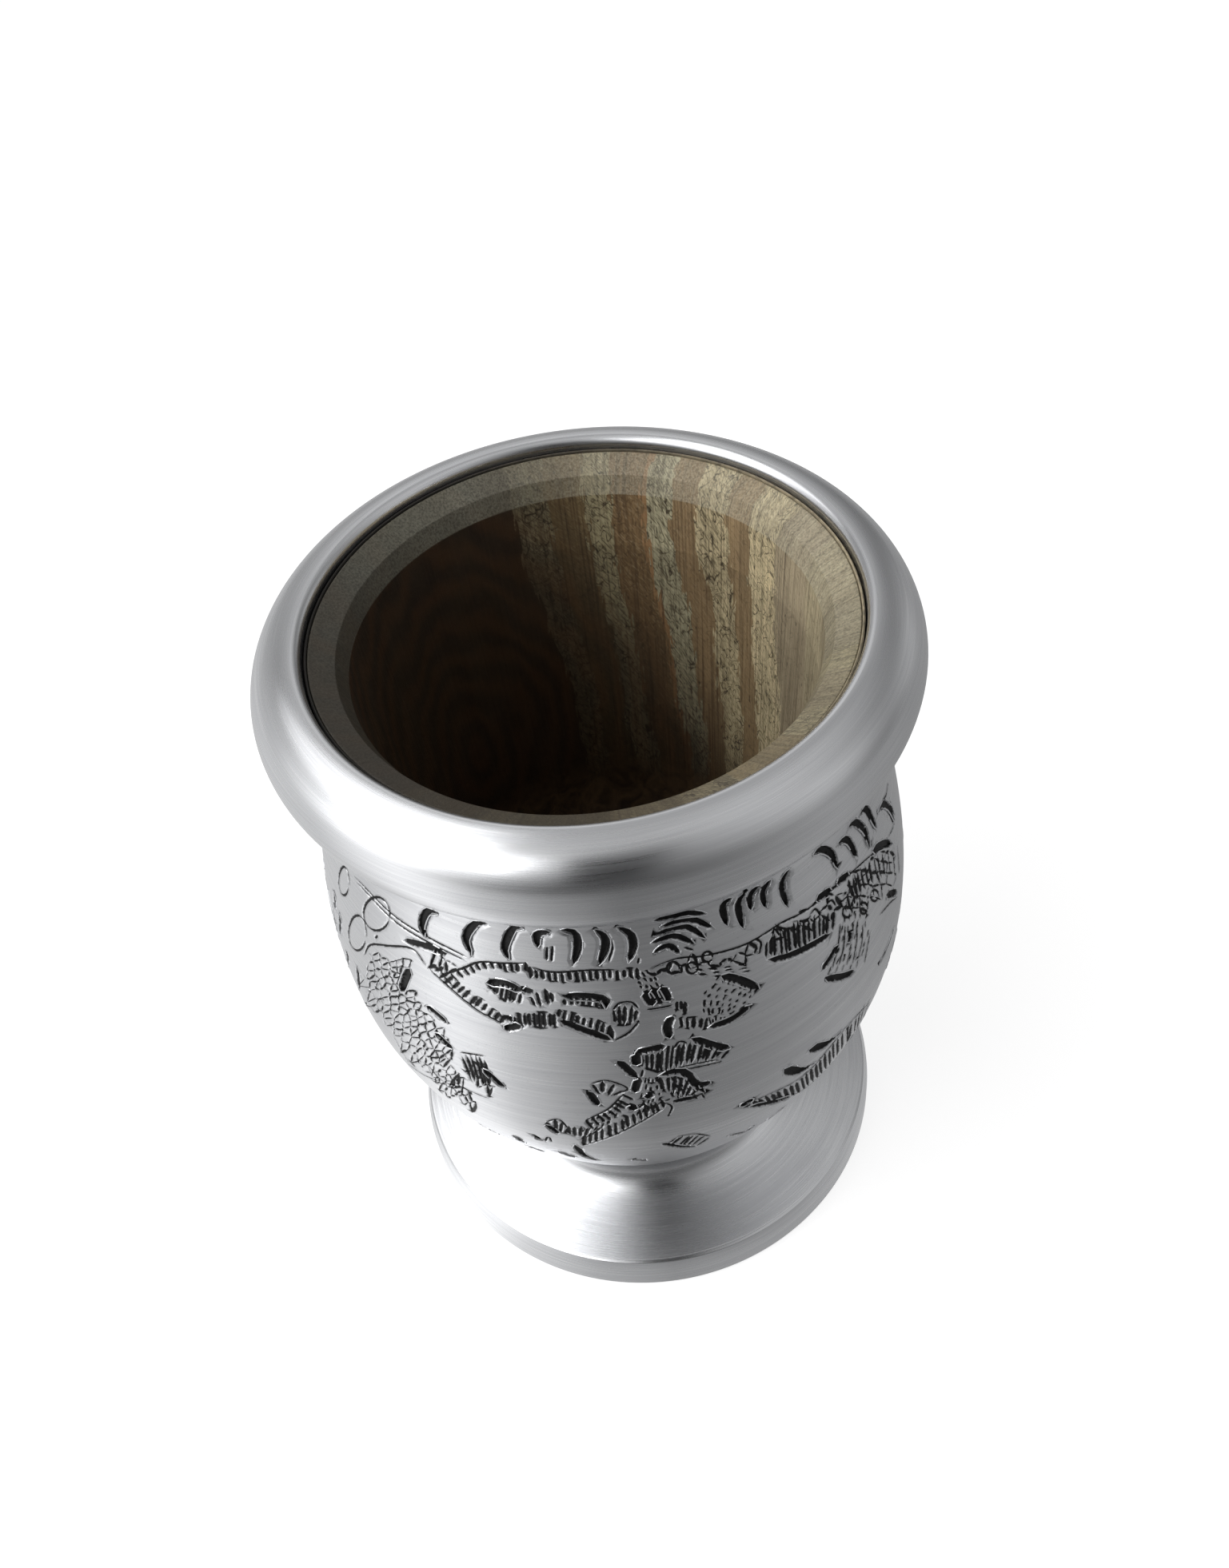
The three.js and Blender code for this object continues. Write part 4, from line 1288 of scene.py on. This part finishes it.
def olive_wood():
    """Turned hardwood: pale curly bands between brown ones, greyed fuzzy bevels and clouds inside, with
    painted shade on the bowl's left side and bevels, a painted shadow line round the wall and painted shade
    towards the bottom.
    """
    material, tree, shader = new_material("turned_olive_wood")
    spot = add(tree, COORDINATES).outputs["Object"]
    height = add(tree, SPLIT, (spot,)).outputs["Z"]
    turn = turn_share(tree)
    drift = add(tree, RANGE, (marks(tree, BAND_DRIFT, 2.0, seed=2.0), 0.25, 0.75, -0.008, 0.008))
    ragged = add(tree, RANGE, (marks(tree, BAND_EDGE, 3.0, seed=8.0), 0.25, 0.75, -0.0042, 0.0042))
    drifted = add(tree, MATH, (leant_over(tree, turn, height, BAND_LEAN), drift))
    band_turn = add(tree, MATH, (drifted, ragged))
    colours = around_stops([(start, code) for start, code, _ in WOOD_BANDS])
    curls = [(start / 360.0, grey(curl)) for start, _, curl in WOOD_BANDS]
    bands = add(tree, RAMP, (band_turn,), colours, "CONSTANT")
    curly = add(tree, RAMP, (band_turn,), curls, "CONSTANT")
    streaks = marks(tree, DARK_STREAKS, 4.0, seed=6.0)
    strands = marks(tree, CURLED_STRANDS, 3.0, seed=11.0, distortion=2.0, lean=0.9)
    fuzz = marks(tree, WORN_FUZZ, 3.0, seed=14.0)
    layers = curled_layers(tree, curly, streaks, strands)
    layers.append(heart_and_shade_layer(tree, turn, band_turn, drift, height))
    layers.append(bevel_layer(tree, turn, height, fuzz))
    layers += stain_and_shade_layers(tree, spot, height)
    curled = add(tree, MATH, (strands, curly), operation="MULTIPLY")
    relief = 0.0
    for pattern, share in ((curled, 0.9), (streaks, 0.5), (fuzz, 0.4)):
        relief = add(tree, MATH, (pattern, share, relief), operation="MULTIPLY_ADD")
    bump = add(tree, BUMP, {"Height": relief, "Strength": 0.4, "Distance": 0.0003})
    rough = add(tree, RANGE, (streaks, 0.3, 0.7, 0.50, 0.64))
    feed(tree, shader, {"Base Color": layered(tree, bands, layers), "Roughness": rough, "Normal": bump})
    return material


def sealing_compound():
    """Dark matt compound squeezed between wood and metal: slightly lumpy, with wood dust and painted light
    that make it pale on the lit right side, and painted shade that keeps it dark on the left.
    """
    material, tree, shader = new_material("dark_sealing_compound")
    lumps = marks(tree, SEAL_LUMPS, 3.0, seed=1.0)
    # Painted light and shade: the compound is paler round the lit right side and darker round the shaded left
    dust_and_light = add(tree, RAMP, (turn_share(tree),), around_stops(SEAL_DUST_AND_LIGHT))
    dark = add(tree, RANGE, (lumps, 0.4, 0.7, 0.0, 0.6))
    bump = add(tree, BUMP, {"Height": lumps, "Strength": 0.5, "Distance": 0.0003})
    feed(tree, shader, {"Base Color": layered(tree, dust_and_light, [(dark, linear("#1B1815"))]), "Roughness": 0.75,
                        "Normal": bump})
    return material


# Burrs that the chisel raised along the bold cuts

# A ridge's radius in mm, how far outside the cut's edge it lies and how thin its ends are, as shares
# of that radius, the sides of its section and the share of gaps in it
BURR_RADIUS = 0.11
BURR_OUT = 0.6
BURR_TIP = 0.15
BURR_SIDES = 5
BURR_GAPS = 0.3
BURR_SEED = 7


def plain_mesh(piece):
    """Give the piece the mesh that its modifiers make, and take them off."""
    made = bpy.data.meshes.new_from_object(piece.evaluated_get(bpy.context.evaluated_depsgraph_get()))
    piece.modifiers.clear()
    piece.data = made
    return made


def burr_tree():
    """Nodes that turn lines along the cuts' edges into thin broken ridges that taper at both ends."""
    tree = bpy.data.node_groups.new("chisel_burr", "GeometryNodeTree")
    sockets = tree.interface
    sockets.new_socket("Lines", in_out="INPUT", socket_type="NodeSocketGeometry")
    names = {}
    for label, kind in (("Ridge radius", "Float"), ("Sides", "Int"), ("Share of gaps", "Float"),
                        ("Seed", "Int"), ("Metal", "Material")):
        names[label] = sockets.new_socket(label, in_out="INPUT", socket_type="NodeSocket" + kind).identifier
    sockets.new_socket("Ridges", in_out="OUTPUT", socket_type="NodeSocketGeometry")
    given = add(tree, "NodeGroupInput").outputs
    broken = add(tree, "FunctionNodeRandomValue", {6: given["Share of gaps"], 8: given["Seed"]},
                 data_type="BOOLEAN")
    kept = add(tree, "GeometryNodeDeleteGeometry", {"Geometry": given["Lines"], "Selection": broken},
               domain="EDGE", mode="EDGE_FACE")
    path = add(tree, "GeometryNodeMeshToCurve", {"Mesh": kept})
    along = add(tree, "GeometryNodeSplineParameter").outputs["Factor"]
    half_turn = add(tree, MATH, (along, math.pi), operation="MULTIPLY")
    arch = add(tree, MATH, (half_turn,), operation="SINE")
    taper = add(tree, MATH, (arch, BURR_TIP), operation="MAXIMUM")
    shaped = add(tree, "GeometryNodeSetCurveRadius", {"Curve": path, "Radius": taper})
    profile = add(tree, "GeometryNodeCurvePrimitiveCircle",
                  {"Resolution": given["Sides"], "Radius": given["Ridge radius"]})
    ridge = add(tree, "GeometryNodeCurveToMesh",
                {"Curve": shaped, "Profile Curve": profile, "Fill Caps": True})
    real = add(tree, "GeometryNodeRealizeInstances", (ridge,))
    coated = add(tree, "GeometryNodeSetMaterial", {"Geometry": real, "Material": given["Metal"]})
    add(tree, "NodeGroupOutput", (coated,))
    return tree, names


def chisel_burrs(name, cuts, metal):
    """Thin bright ridges along both edges of the bold cuts."""
    vertices, edges = [], []
    for track, half, depth, tone in cuts:
        if depth < BOLD_DEPTH or tone < 1.0:
            continue
        line, _, side, stretch = unrolled(track)
        for sign in (1.0, -1.0):
            rim = (line + sign * side * (half[:, None] + BURR_OUT * BURR_RADIUS)) / stretch
            places, _ = on_barrel(rim[:, 0], np.minimum(rim[:, 1], BARREL_LENGTH), 0.0)
            edges.extend((len(vertices) + i, len(vertices) + i + 1) for i in range(len(places) - 1))
            vertices.extend((places * MM).tolist())
    mesh = bpy.data.meshes.new(name)
    mesh.from_pydata(vertices, edges, [])
    piece = linked(name, mesh)
    tree, names = burr_tree()
    nodes = piece.modifiers.new("chisel_burr", "NODES")
    nodes.node_group = tree
    for label, value in (("Ridge radius", BURR_RADIUS * MM), ("Sides", BURR_SIDES),
                         ("Share of gaps", BURR_GAPS), ("Seed", BURR_SEED), ("Metal", metal)):
        nodes[names[label]] = value
    made = plain_mesh(piece)
    places = np.array([v.co for v in made.vertices]) / MM
    turns = np.arctan2(places[:, 0], -places[:, 1]) * REFERENCE_RADIUS
    corners = np.array([loop.vertex_index for loop in made.loops])
    layer = made.uv_layers.new(name="turning")
    layer.data.foreach_set("uv", np.column_stack([turns, places[:, 2]])[corners].astype(np.float32).ravel())
    made.shade_smooth()
    return piece


# Pieces

# The screw's section and slot in mm
SCREW_FACETS = 64
SCREW_SECTION = [(0.0, 8.3), (3.1, 8.3), (3.75, 8.55), (4.0, 9.2), (4.0, 10.9), (2.0, 10.9), (2.0, 28.6),
                 (1.6, 29.1), (0.0, 29.1)]
SLOT_WIDTH = 1.2
SLOT_DEPTH = 1.3
SLOT_REACH = 8.0
SHARP_ANGLE = math.radians(32.0)
BOX_FACES = [(0, 1, 3, 2), (4, 6, 7, 5), (0, 4, 5, 1), (2, 3, 7, 6), (0, 2, 6, 4), (1, 5, 7, 3)]

# Radius in mm that softens the corners of each turned piece
RIM_SOFT = 0.35
SEAL_SOFT = 0.15
BOWL_SOFT = 0.3
FOOT_SOFT = 0.25
SCREW_SOFT = 0.2
WASHER_SOFT = 0.15


def slotted_screw(name):
    """The turned screw with a straight slot for a screwdriver cut across its head."""
    piece = turned(name, softened(SCREW_SECTION, SCREW_SOFT), SCREW_FACETS)
    face = SCREW_SECTION[0][1]
    corners = [(x * MM, y * MM, (face + z) * MM) for x in (-SLOT_REACH, SLOT_REACH)
               for y in (-0.5 * SLOT_WIDTH, 0.5 * SLOT_WIDTH) for z in (-SLOT_DEPTH, SLOT_DEPTH)]
    box = bpy.data.meshes.new("slot_cutter")
    box.from_pydata(corners, [], BOX_FACES)
    cutter = linked("slot_cutter", box)
    cut = piece.modifiers.new("slot", "BOOLEAN")
    cut.operation = "DIFFERENCE"
    cut.solver = "EXACT"
    cut.object = cutter
    made = plain_mesh(piece)
    bpy.data.objects.remove(cutter)
    made.set_sharp_from_angle(angle=SHARP_ANGLE)
    return piece


def add_pieces():
    """Every piece with its material, riding on the one body in place of its CAD node."""
    aluminium = satin_aluminium()
    chiselled = chiselled_aluminium()
    steel = plain_steel()
    cuts = wrapped_cuts()
    rim = turned("rim_bead", softened(rim_section(), RIM_SOFT))
    seal = turned("seal_ring", softened(SEAL_SECTION, SEAL_SOFT))
    bowl = turned("wooden_bowl", softened(bowl_section(), BOWL_SOFT))
    barrel = chiselled_barrel("chiselled_barrel", cuts)
    burrs = chisel_burrs("chisel_burrs", cuts, chiselled)
    foot = turned("flared_foot", softened(foot_section(), FOOT_SOFT))
    screw = slotted_screw("slotted_screw")
    washer = turned("plain_washer", softened(WASHER_SECTION, WASHER_SOFT))
    made = [
        (rim, aluminium, "rim_ring", "satin_aluminium"),
        (seal, sealing_compound(), "mouth_seal", "sealing_compound"),
        (bowl, olive_wood(), "wood_liner", "olive_wood"),
        (barrel, chiselled, "body_shell", "chiselled_aluminium"),
        (burrs, chiselled, "body_shell", "chiselled_aluminium"),
        (foot, aluminium, "foot", "satin_aluminium"),
        (screw, steel, "foot_screw", "steel"),
        (washer, steel, "foot_washer", "steel"),
    ]
    for piece, material, node_name, slot_name in made:
        piece.data.materials.clear()
        piece.data.materials.append(material)
        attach(piece, "root")
        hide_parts(node_name)


# Floor and light

# The room: its dim level, and soft bright parts as azimuth from the front towards +X, elevation and strength
ROOM_LEVEL = 0.08
ROOM_SHARPNESS = 14.0
ROOM_PARTS = [
    (291.0, 17.0, 1.75), (316.0, 45.0, 0.9), (295.0, 62.0, 0.3), (40.0, 36.0, 0.28), (270.0, 8.0, 0.6),
    (240.0, 8.0, 0.4), (180.0, 30.0, 0.7), (210.0, 5.0, 0.22), (120.0, 60.0, 0.4), (120.0, 5.0, 0.42),
    (60.0, 60.0, 0.32), (75.0, 27.0, 0.42), (60.0, 5.0, 0.19), (225.0, 60.0, 0.25), (0.0, 90.0, 0.26),
]

# Name, place and aim in metres, size in metres, watts and spread in degrees
LAMPS = [
    ("window_left", (-0.42, -0.06, 0.30), (-0.05, -0.01, 0.03), (0.5, 0.4), 0.06, 120.0),
    ("window_high_left", (-0.30, 0.10, 0.50), (-0.03, 0.0, 0.05), (0.4, 0.4), 0.31, 120.0),
    ("window_front_left", (-0.295, -0.248, 0.46), (0.0, 0.0, 0.03), (0.26, 0.26), 0.25, 150.0),
    ("bowl_light", (-0.36, -0.10, 0.50), (0.02, 0.01, 0.09), (0.16, 0.16), 0.075, 60.0),
]

# White that the camera sees behind the floor and on it
BACKDROP_WHITE = 1.0
FLOOR_WHITE = 0.74

# Floor in metres, and the tone and roughness of its paper
FLOOR_HALF = 1.5
PAPER_TONE = 0.5
PAPER_ROUGHNESS = 0.9

# Glow of the floor that only the metal's reflections see, a painted reflection of a floor lit brightest on
# the left: angle from the front towards +X in degrees, and strength there
FLOOR_GLOW_IN_REFLECTIONS = [
    (-180.0, 0.5), (-115.0, 0.72), (-90.0, 0.7), (-62.0, 1.25), (-51.0, 1.15), (-40.0, 0.74), (-20.0, 0.38),
    (0.0, 0.19), (35.0, 0.27), (65.0, 0.38), (100.0, 0.32), (140.0, 0.36), (180.0, 0.5),
]
# Painted reflection glow that it adds close to the foot, and the distances in metres between which that fades
NEAR_GLOW_IN_REFLECTIONS = 0.18
NEAR_GLOW_FADE = (0.042, 0.075)

# Black card in mm: width and height, and how far behind and below the camera
CARD_SIZE = (80.0, 150.0)
CARD_BEHIND = 12.0
CARD_DROP = 42.0
CARD_ROUGHNESS = 0.9

# Corners of a square from -1 to 1, anticlockwise
SQUARE = ((-1.0, -1.0), (1.0, -1.0), (1.0, 1.0), (-1.0, 1.0))


def flat_sheet(name, corners, material):
    """One four-cornered face in the scene."""
    mesh = bpy.data.meshes.new(name)
    mesh.from_pydata(corners, [], [(0, 1, 2, 3)])
    mesh.materials.append(material)
    return linked(name, mesh)


def pale_paper():
    """Pale matt paper, which looks white to the camera, and which the metal's reflections see only as an
    uneven glow, a painted reflection of a lit floor.
    """
    material, tree, shader = new_material("pale_paper")
    feed(tree, shader, {"Base Color": grey(PAPER_TONE), "Roughness": PAPER_ROUGHNESS})
    path = add(tree, LIGHT_PATH).outputs
    spot = add(tree, COORDINATES).outputs["Object"]
    split = add(tree, SPLIT, (spot,)).outputs
    to_front = add(tree, MATH, (split["Y"], -1.0), operation="MULTIPLY")
    turn = add(tree, MATH, (split["X"], to_front), operation="ARCTAN2")
    share = add(tree, RANGE, (turn, -math.pi, math.pi, 0.0, 1.0))
    stops = [((angle + 180.0) / 360.0, grey(tone)) for angle, tone in FLOOR_GLOW_IN_REFLECTIONS]
    tone = add(tree, RAMP, (share,), stops)
    reach = add(tree, VECTOR, (spot,), operation="LENGTH")
    near = add(tree, RANGE, (reach, *NEAR_GLOW_FADE, NEAR_GLOW_IN_REFLECTIONS, 0.0))
    # Painted reflection: a glow that glossy rays see in place of the lit paper
    reflected_glow = add(tree, GLOW, {"Color": WHITE, "Strength": add(tree, MATH, (tone, near))})
    straight = add(tree, MATH, (path["Is Camera Ray"], path["Is Transmission Ray"]))
    seen = add(tree, MATH, (straight, FLOOR_WHITE), operation="MULTIPLY")
    glow = add(tree, GLOW, {"Color": WHITE, "Strength": seen})
    lit = add(tree, "ShaderNodeAddShader", (shader, glow))
    shown = add(tree, "ShaderNodeMixShader", (path["Is Glossy Ray"], lit, reflected_glow))
    feed(tree, tree.nodes["Material Output"], {"Surface": shown})
    return material


def add_floor():
    """The floor that the cup stands on."""
    corners = [(x * FLOOR_HALF, y * FLOOR_HALF, 0.0) for x, y in SQUARE]
    flat_sheet("floor", corners, pale_paper())


def add_dark_card():
    """A black card behind the camera, which only the metal mirrors, for a dark band down its front."""
    material, tree, shader = new_material("black_card")
    feed(tree, shader, {"Base Color": linear("#1C1C1D"), "Roughness": CARD_ROUGHNESS})
    half_wide = CARD_SIZE[0] / 2.0
    half_tall = CARD_SIZE[1] / 2.0
    places = [Vector((x * half_wide, y * half_tall - CARD_DROP, CARD_BEHIND)) for x, y in SQUARE]
    corners = [tuple((CAMERA_PLACE + CAMERA_TURN @ place) * MM) for place in places]
    card = flat_sheet("dark_card", corners, material)
    card.visible_camera = False
    card.visible_diffuse = False
    card.visible_transmission = False
    card.visible_shadow = False


def add_lamp(name, place, aim, size, watts, spread):
    """A softbox at place, in metres, turned to aim; spread is how wide its grid lets it shine."""
    lamp = bpy.data.lights.new(name, "AREA")
    lamp.shape = "RECTANGLE"
    lamp.size, lamp.size_y = size
    lamp.energy = watts
    lamp.spread = math.radians(spread)
    holder = linked(name, lamp)
    holder.location = place
    holder.rotation_euler = (Vector(aim) - Vector(place)).to_track_quat("-Z", "Y").to_euler()


def add_surroundings():
    """A dim room with soft bright parts, most of them on the left, and soft lamps."""
    world = bpy.data.worlds.new("studio")
    bpy.context.scene.world = world
    world.use_nodes = True
    tree = world.node_tree
    way = add(tree, COORDINATES).outputs["Generated"]
    strength = ROOM_LEVEL
    for azimuth, elevation, share in ROOM_PARTS:
        turn = math.radians(azimuth)
        rise = math.radians(elevation)
        centre = (math.sin(turn) * math.cos(rise), -math.cos(turn) * math.cos(rise), math.sin(rise))
        near = add(tree, VECTOR, (way, centre), operation="DOT_PRODUCT")
        ahead = add(tree, MATH, (near, 0.0), operation="MAXIMUM")
        soft = add(tree, MATH, (ahead, ROOM_SHARPNESS), operation="POWER")
        strength = add(tree, MATH, (soft, share, strength), operation="MULTIPLY_ADD")
    path = add(tree, LIGHT_PATH).outputs
    seen = add(tree, MATH, (path["Is Camera Ray"], path["Is Transmission Ray"]))
    shown = add(tree, MIX, {0: seen, 2: strength, 3: BACKDROP_WHITE}, data_type="FLOAT")
    feed(tree, tree.nodes["Background"], {"Color": WHITE, "Strength": shown})
    for lamp in LAMPS:
        add_lamp(*lamp)


add_camera()
add_pieces()
add_floor()
add_dark_card()
add_surroundings()
bpy.context.scene.view_settings.view_transform = "Standard"
